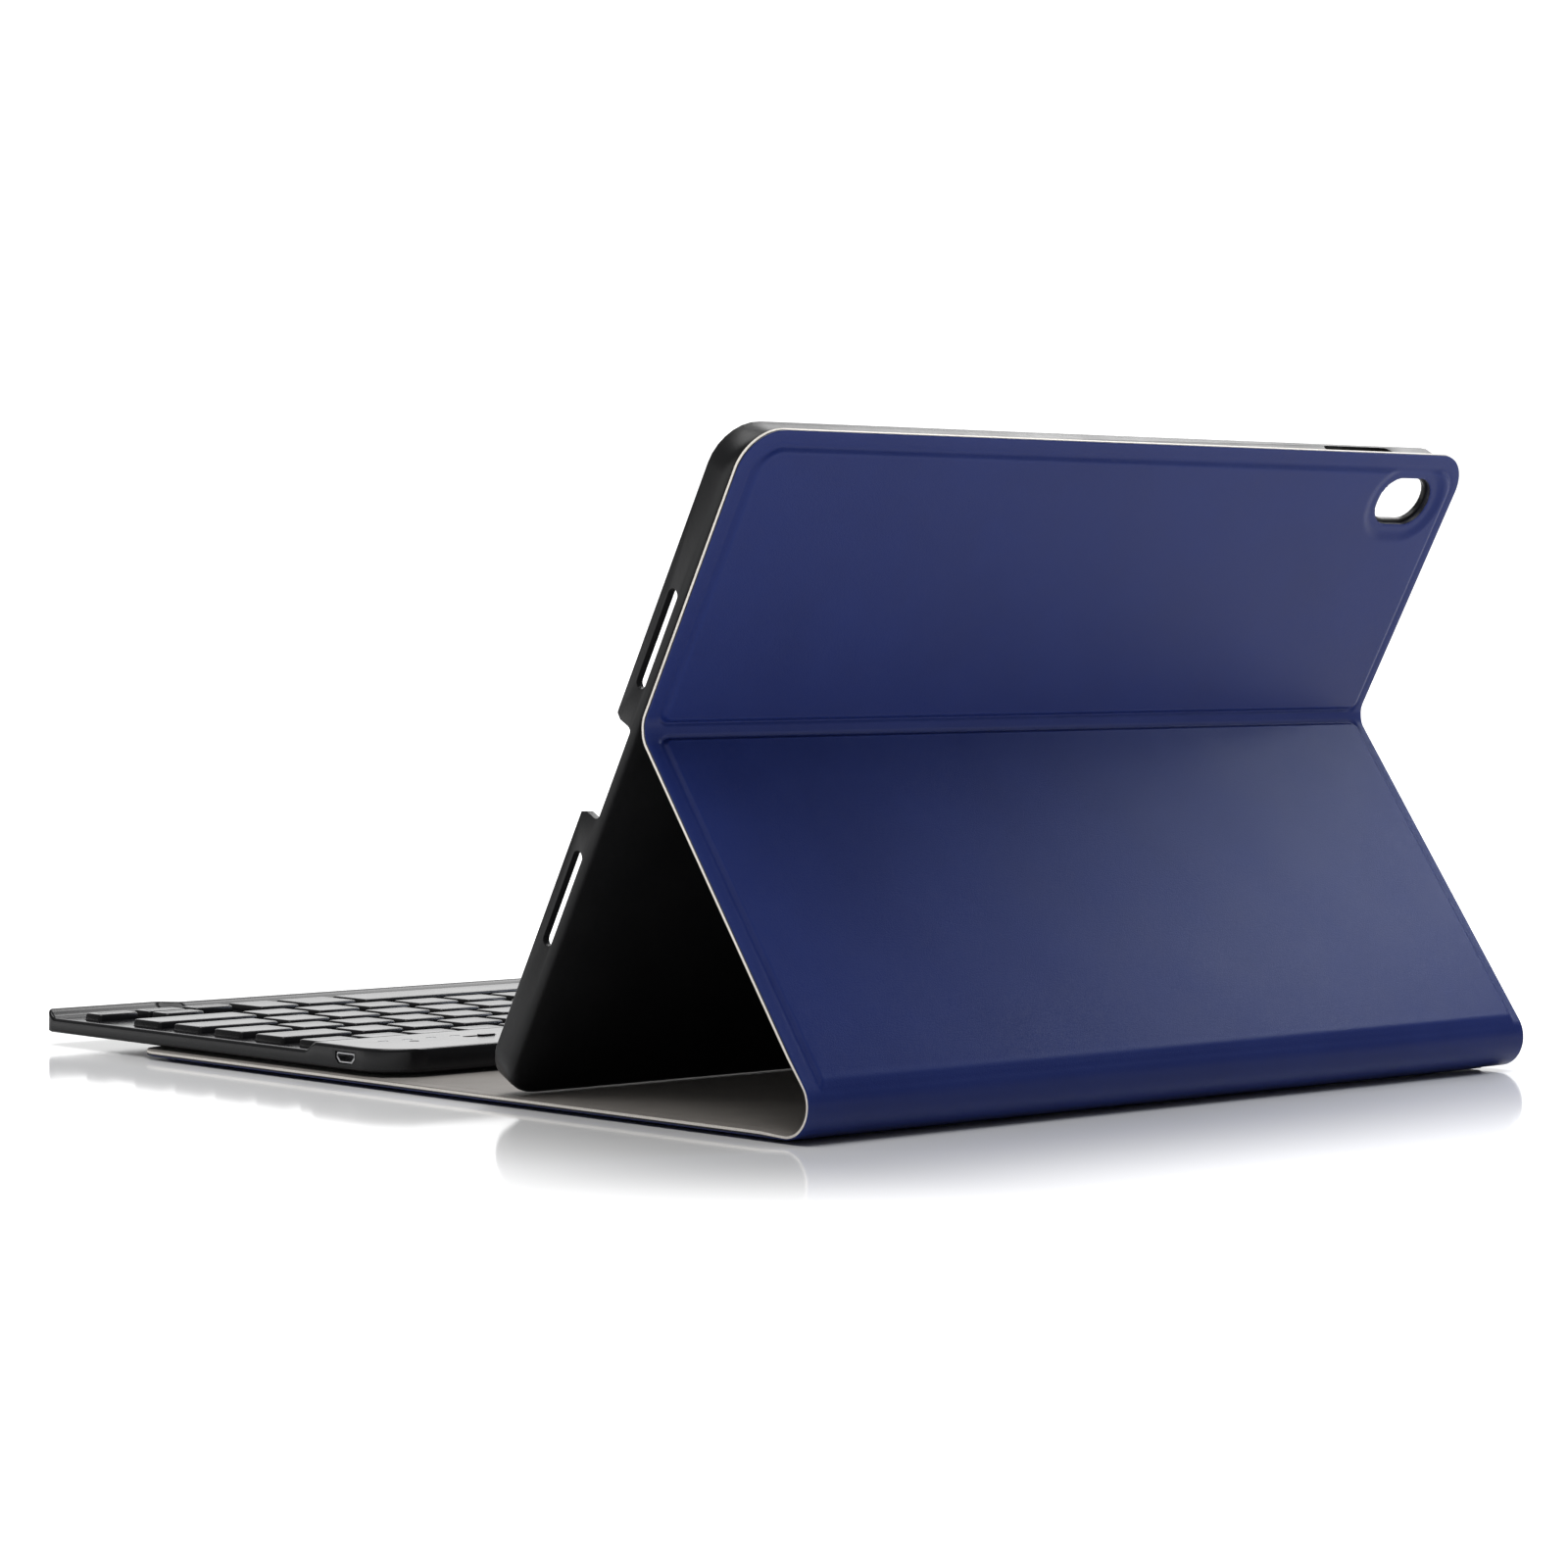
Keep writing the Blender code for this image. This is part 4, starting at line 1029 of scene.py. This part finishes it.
def deck_mesh():
    """Skin of the deck: a raised rear strip, a front ridge, rounded shoulders and walls round a hollow."""
    x, y, deep, front_gap, half_at = frame_grid()
    strip = smooth(STRIP_EDGE - 4.0, STRIP_EDGE + 0.6, y)
    ridge = 1 - smooth(0.9, 5.6, front_gap)
    top = KB_DECK + (KB_TOP - KB_DECK) * np.maximum(strip, ridge)
    edge = np.minimum(np.minimum(half_at - np.abs(x), deep), front_gap)
    top = top - rolled(edge, KB_EDGE_R, KB_EDGE_R)
    hollow = smooth(KB_WALL * 2, 1.9, edge)
    under = (KB_BOTTOM + KB_WALL) * (1 - hollow) + (top - KB_WALL) * hollow
    rows, columns = x.shape
    count = rows * columns
    coords = np.vstack([np.column_stack([x.ravel(), y.ravel(), z.ravel()]) for z in (top, under)]) * MM
    faces = []
    for r in range(rows - 1):
        for c in range(columns - 1):
            a, b = r * columns + c, (r + 1) * columns + c
            faces.append((a, b, b + 1, a + 1))
            faces.append((count + a, count + a + 1, count + b + 1, count + b))
    border = list(range(columns))
    border += [r * columns + columns - 1 for r in range(1, rows)]
    border += [(rows - 1) * columns + c for c in range(columns - 2, -1, -1)]
    border += [r * columns for r in range(rows - 2, 0, -1)]
    for a, b in zip(border, border[1:] + border[:1]):
        faces.append((a, b, count + b, count + a))
    mesh = bpy.data.meshes.new("keyboard_deck")
    mesh.from_pydata(coords.tolist(), [], faces)
    shape = bmesh.new()
    shape.from_mesh(mesh)
    bmesh.ops.recalc_face_normals(shape, faces=shape.faces[:])
    shape.to_mesh(mesh)
    shape.free()
    return mesh


def build_keyboard_frame():
    deck = link("keyboard_deck", deck_mesh())
    deck.data.materials.append(LOOKS["black_deck"])
    subtract(deck, deck_openings(), 35.0)
    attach(deck, "keyboard")
    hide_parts("keyboard_top_frame")


# ---------------------------------------------------------------- carried-over nodes

def dress_nodes():
    """Give every CAD node the look of the material slot that it carries."""
    for node in NODES.values():
        for slot in node.material_slots:
            base = slot.material.name.split(".")[0]
            slot.material = LOOKS[base]


def moulded_copy(node, body, slot, width):
    """Stand in for a hard node with its own shape, its edges rounded a little and smoothly shaded."""
    piece = link(node + "_moulded", NODES[node].data.copy())
    weld = piece.modifiers.new("weld", "WELD")
    weld.merge_threshold = 0.002 * MM
    bevel = piece.modifiers.new("round", "BEVEL")
    bevel.width = width * MM
    bevel.segments = 3
    bevel.limit_method = "ANGLE"
    bevel.angle_limit = math.radians(35.0)
    bevel.use_clamp_overlap = True
    bevel.miter_outer = "MITER_ARC"
    result = apply_modifiers(piece)
    result.materials.clear()
    result.materials.append(LOOKS[slot])
    result.shade_smooth()
    result.set_sharp_from_angle(angle=math.radians(32.0))
    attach(piece, body)
    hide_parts(node)


# ---------------------------------------------------------------- floor, light, camera

def build_floor():
    """A polished white patch under the object that fades to plain white all round."""
    radius, corners, depth = 14.0, 96, -0.0002
    turns = [math.tau * k / corners for k in range(corners)]
    mesh = bpy.data.meshes.new("floor")
    ring = [(radius * math.cos(a), radius * math.sin(a), depth) for a in turns]
    mesh.from_pydata(ring, [], [tuple(range(corners))])
    made, tree, shader = shader_nodes("floor_look")
    shader.inputs["Base Color"].default_value = (0.9, 0.9, 0.905, 1.0)
    shader.inputs["Roughness"].default_value = 0.09
    shader.inputs["IOR"].default_value = 1.45
    spot = add(tree, "ShaderNodeTexCoord").outputs["Object"]
    mirrored = add(tree, "ShaderNodeVectorMath", {0: spot}, operation="ABSOLUTE").outputs[0]
    past = {0: mirrored, 1: (*FOOTPRINT, 0.0)}
    outside = add(tree, "ShaderNodeVectorMath", past, operation="SUBTRACT").outputs[0]
    clipped = {0: outside, 1: (0.0, 0.0, 0.0)}
    beyond = add(tree, "ShaderNodeVectorMath", clipped, operation="MAXIMUM").outputs[0]
    away = add(tree, "ShaderNodeVectorMath", {0: beyond}, operation="LENGTH").outputs["Value"]
    fade = {0: away, 1: FADE_START, 2: FADE_END}
    share = add(tree, "ShaderNodeMapRange", fade, interpolation_type="SMOOTHSTEP").outputs[0]
    plain = add(tree, "ShaderNodeEmission", {"Color": (1.0, 1.0, 1.0, 1.0), "Strength": 1.6})
    both = add(tree, "ShaderNodeMixShader", {0: share, 1: shader.outputs[0], 2: plain.outputs[0]})
    tree.links.new(both.outputs[0], tree.nodes["Material Output"].inputs["Surface"])
    mesh.materials.append(made)
    link("floor", mesh)


def area_light(name, stands, target, side, power, colour=(1.0, 1.0, 1.0)):
    """A square soft light, hidden from the camera."""
    light = bpy.data.lights.new(name, "AREA")
    light.shape = "RECTANGLE"
    light.size = light.size_y = side
    light.energy = power
    light.color = colour
    made = link(name, light)
    made.location = stands
    made.visible_camera = False
    aim = Vector(target) - Vector(stands)
    made.rotation_euler = aim.to_track_quat("-Z", "Y").to_euler()


def build_world():
    """White to the camera; as light, bright behind the object and dim all round."""
    world = bpy.data.worlds.new("studio")
    bpy.context.scene.world = world
    world.use_nodes = True
    tree = world.node_tree
    shader = tree.nodes["Background"]
    spot = add(tree, "ShaderNodeTexCoord").outputs["Generated"]
    axis = add(tree, "ShaderNodeVectorMath", {0: spot, 1: BRIGHT_AXIS}, operation="DOT_PRODUCT")
    bright = ramp(tree, axis.outputs["Value"], *BRIGHT_EDGE)
    camera_sees = add(tree, "ShaderNodeLightPath").outputs["Is Camera Ray"]
    white = add(tree, "ShaderNodeMath", {0: bright, 1: camera_sees}, operation="MAXIMUM").outputs[0]
    shader.inputs["Color"].default_value = (1.0, 1.0, 1.0, 1.0)
    tree.links.new(ramp(tree, white, 0.0, 1.0, *WORLD_STRENGTH), shader.inputs["Strength"])


def build_camera():
    """Place and lens worked out from the photograph, in the frame's own axes."""
    sine, cosine = math.sin, math.cos
    forward = Vector((sine(YAW) * cosine(PITCH), cosine(YAW) * cosine(PITCH), sine(PITCH)))
    level = Vector((cosine(YAW), -sine(YAW), 0.0))
    upright = level.cross(forward)
    right = level * cosine(ROLL) + upright * sine(ROLL)
    up = upright * cosine(ROLL) - level * sine(ROLL)
    turn = Matrix((right, up, -forward)).transposed().to_4x4()
    turn.translation = Vector(EYE) * MM
    lens = bpy.data.cameras.new("camera")
    lens.sensor_width = 36.0
    lens.lens = FOCAL_LENGTH
    lens.shift_x, lens.shift_y = LENS_SHIFT
    lens.clip_start = 0.01
    lens.clip_end = 60.0
    made = link("camera", lens)
    made.matrix_world = turn
    bpy.context.scene.camera = made


def build_lights():
    area_light("overhead", (0.3, 0.1, 2.0), (0.0, 0.0, 0.0), 1.6, 36.0)
    area_light("near_right", (-0.42, 0.24, 0.29), (-0.15, 0.14, 0.05), 0.16, 0.52, (0.86, 0.95, 1.2))
    area_light("beyond", (-1.2, -0.55, 1.2), (0.0, -0.1, 0.0), 0.8, 9.0)
    bpy.context.scene.view_settings.view_transform = "Standard"
    bpy.context.scene.view_settings.look = "None"


dress_nodes()
build_folio()
build_keys()
build_keyboard_frame()
moulded_copy("tablet_shell", "shell", "black_shell", 0.35)
build_floor()
build_world()
build_lights()
build_camera()
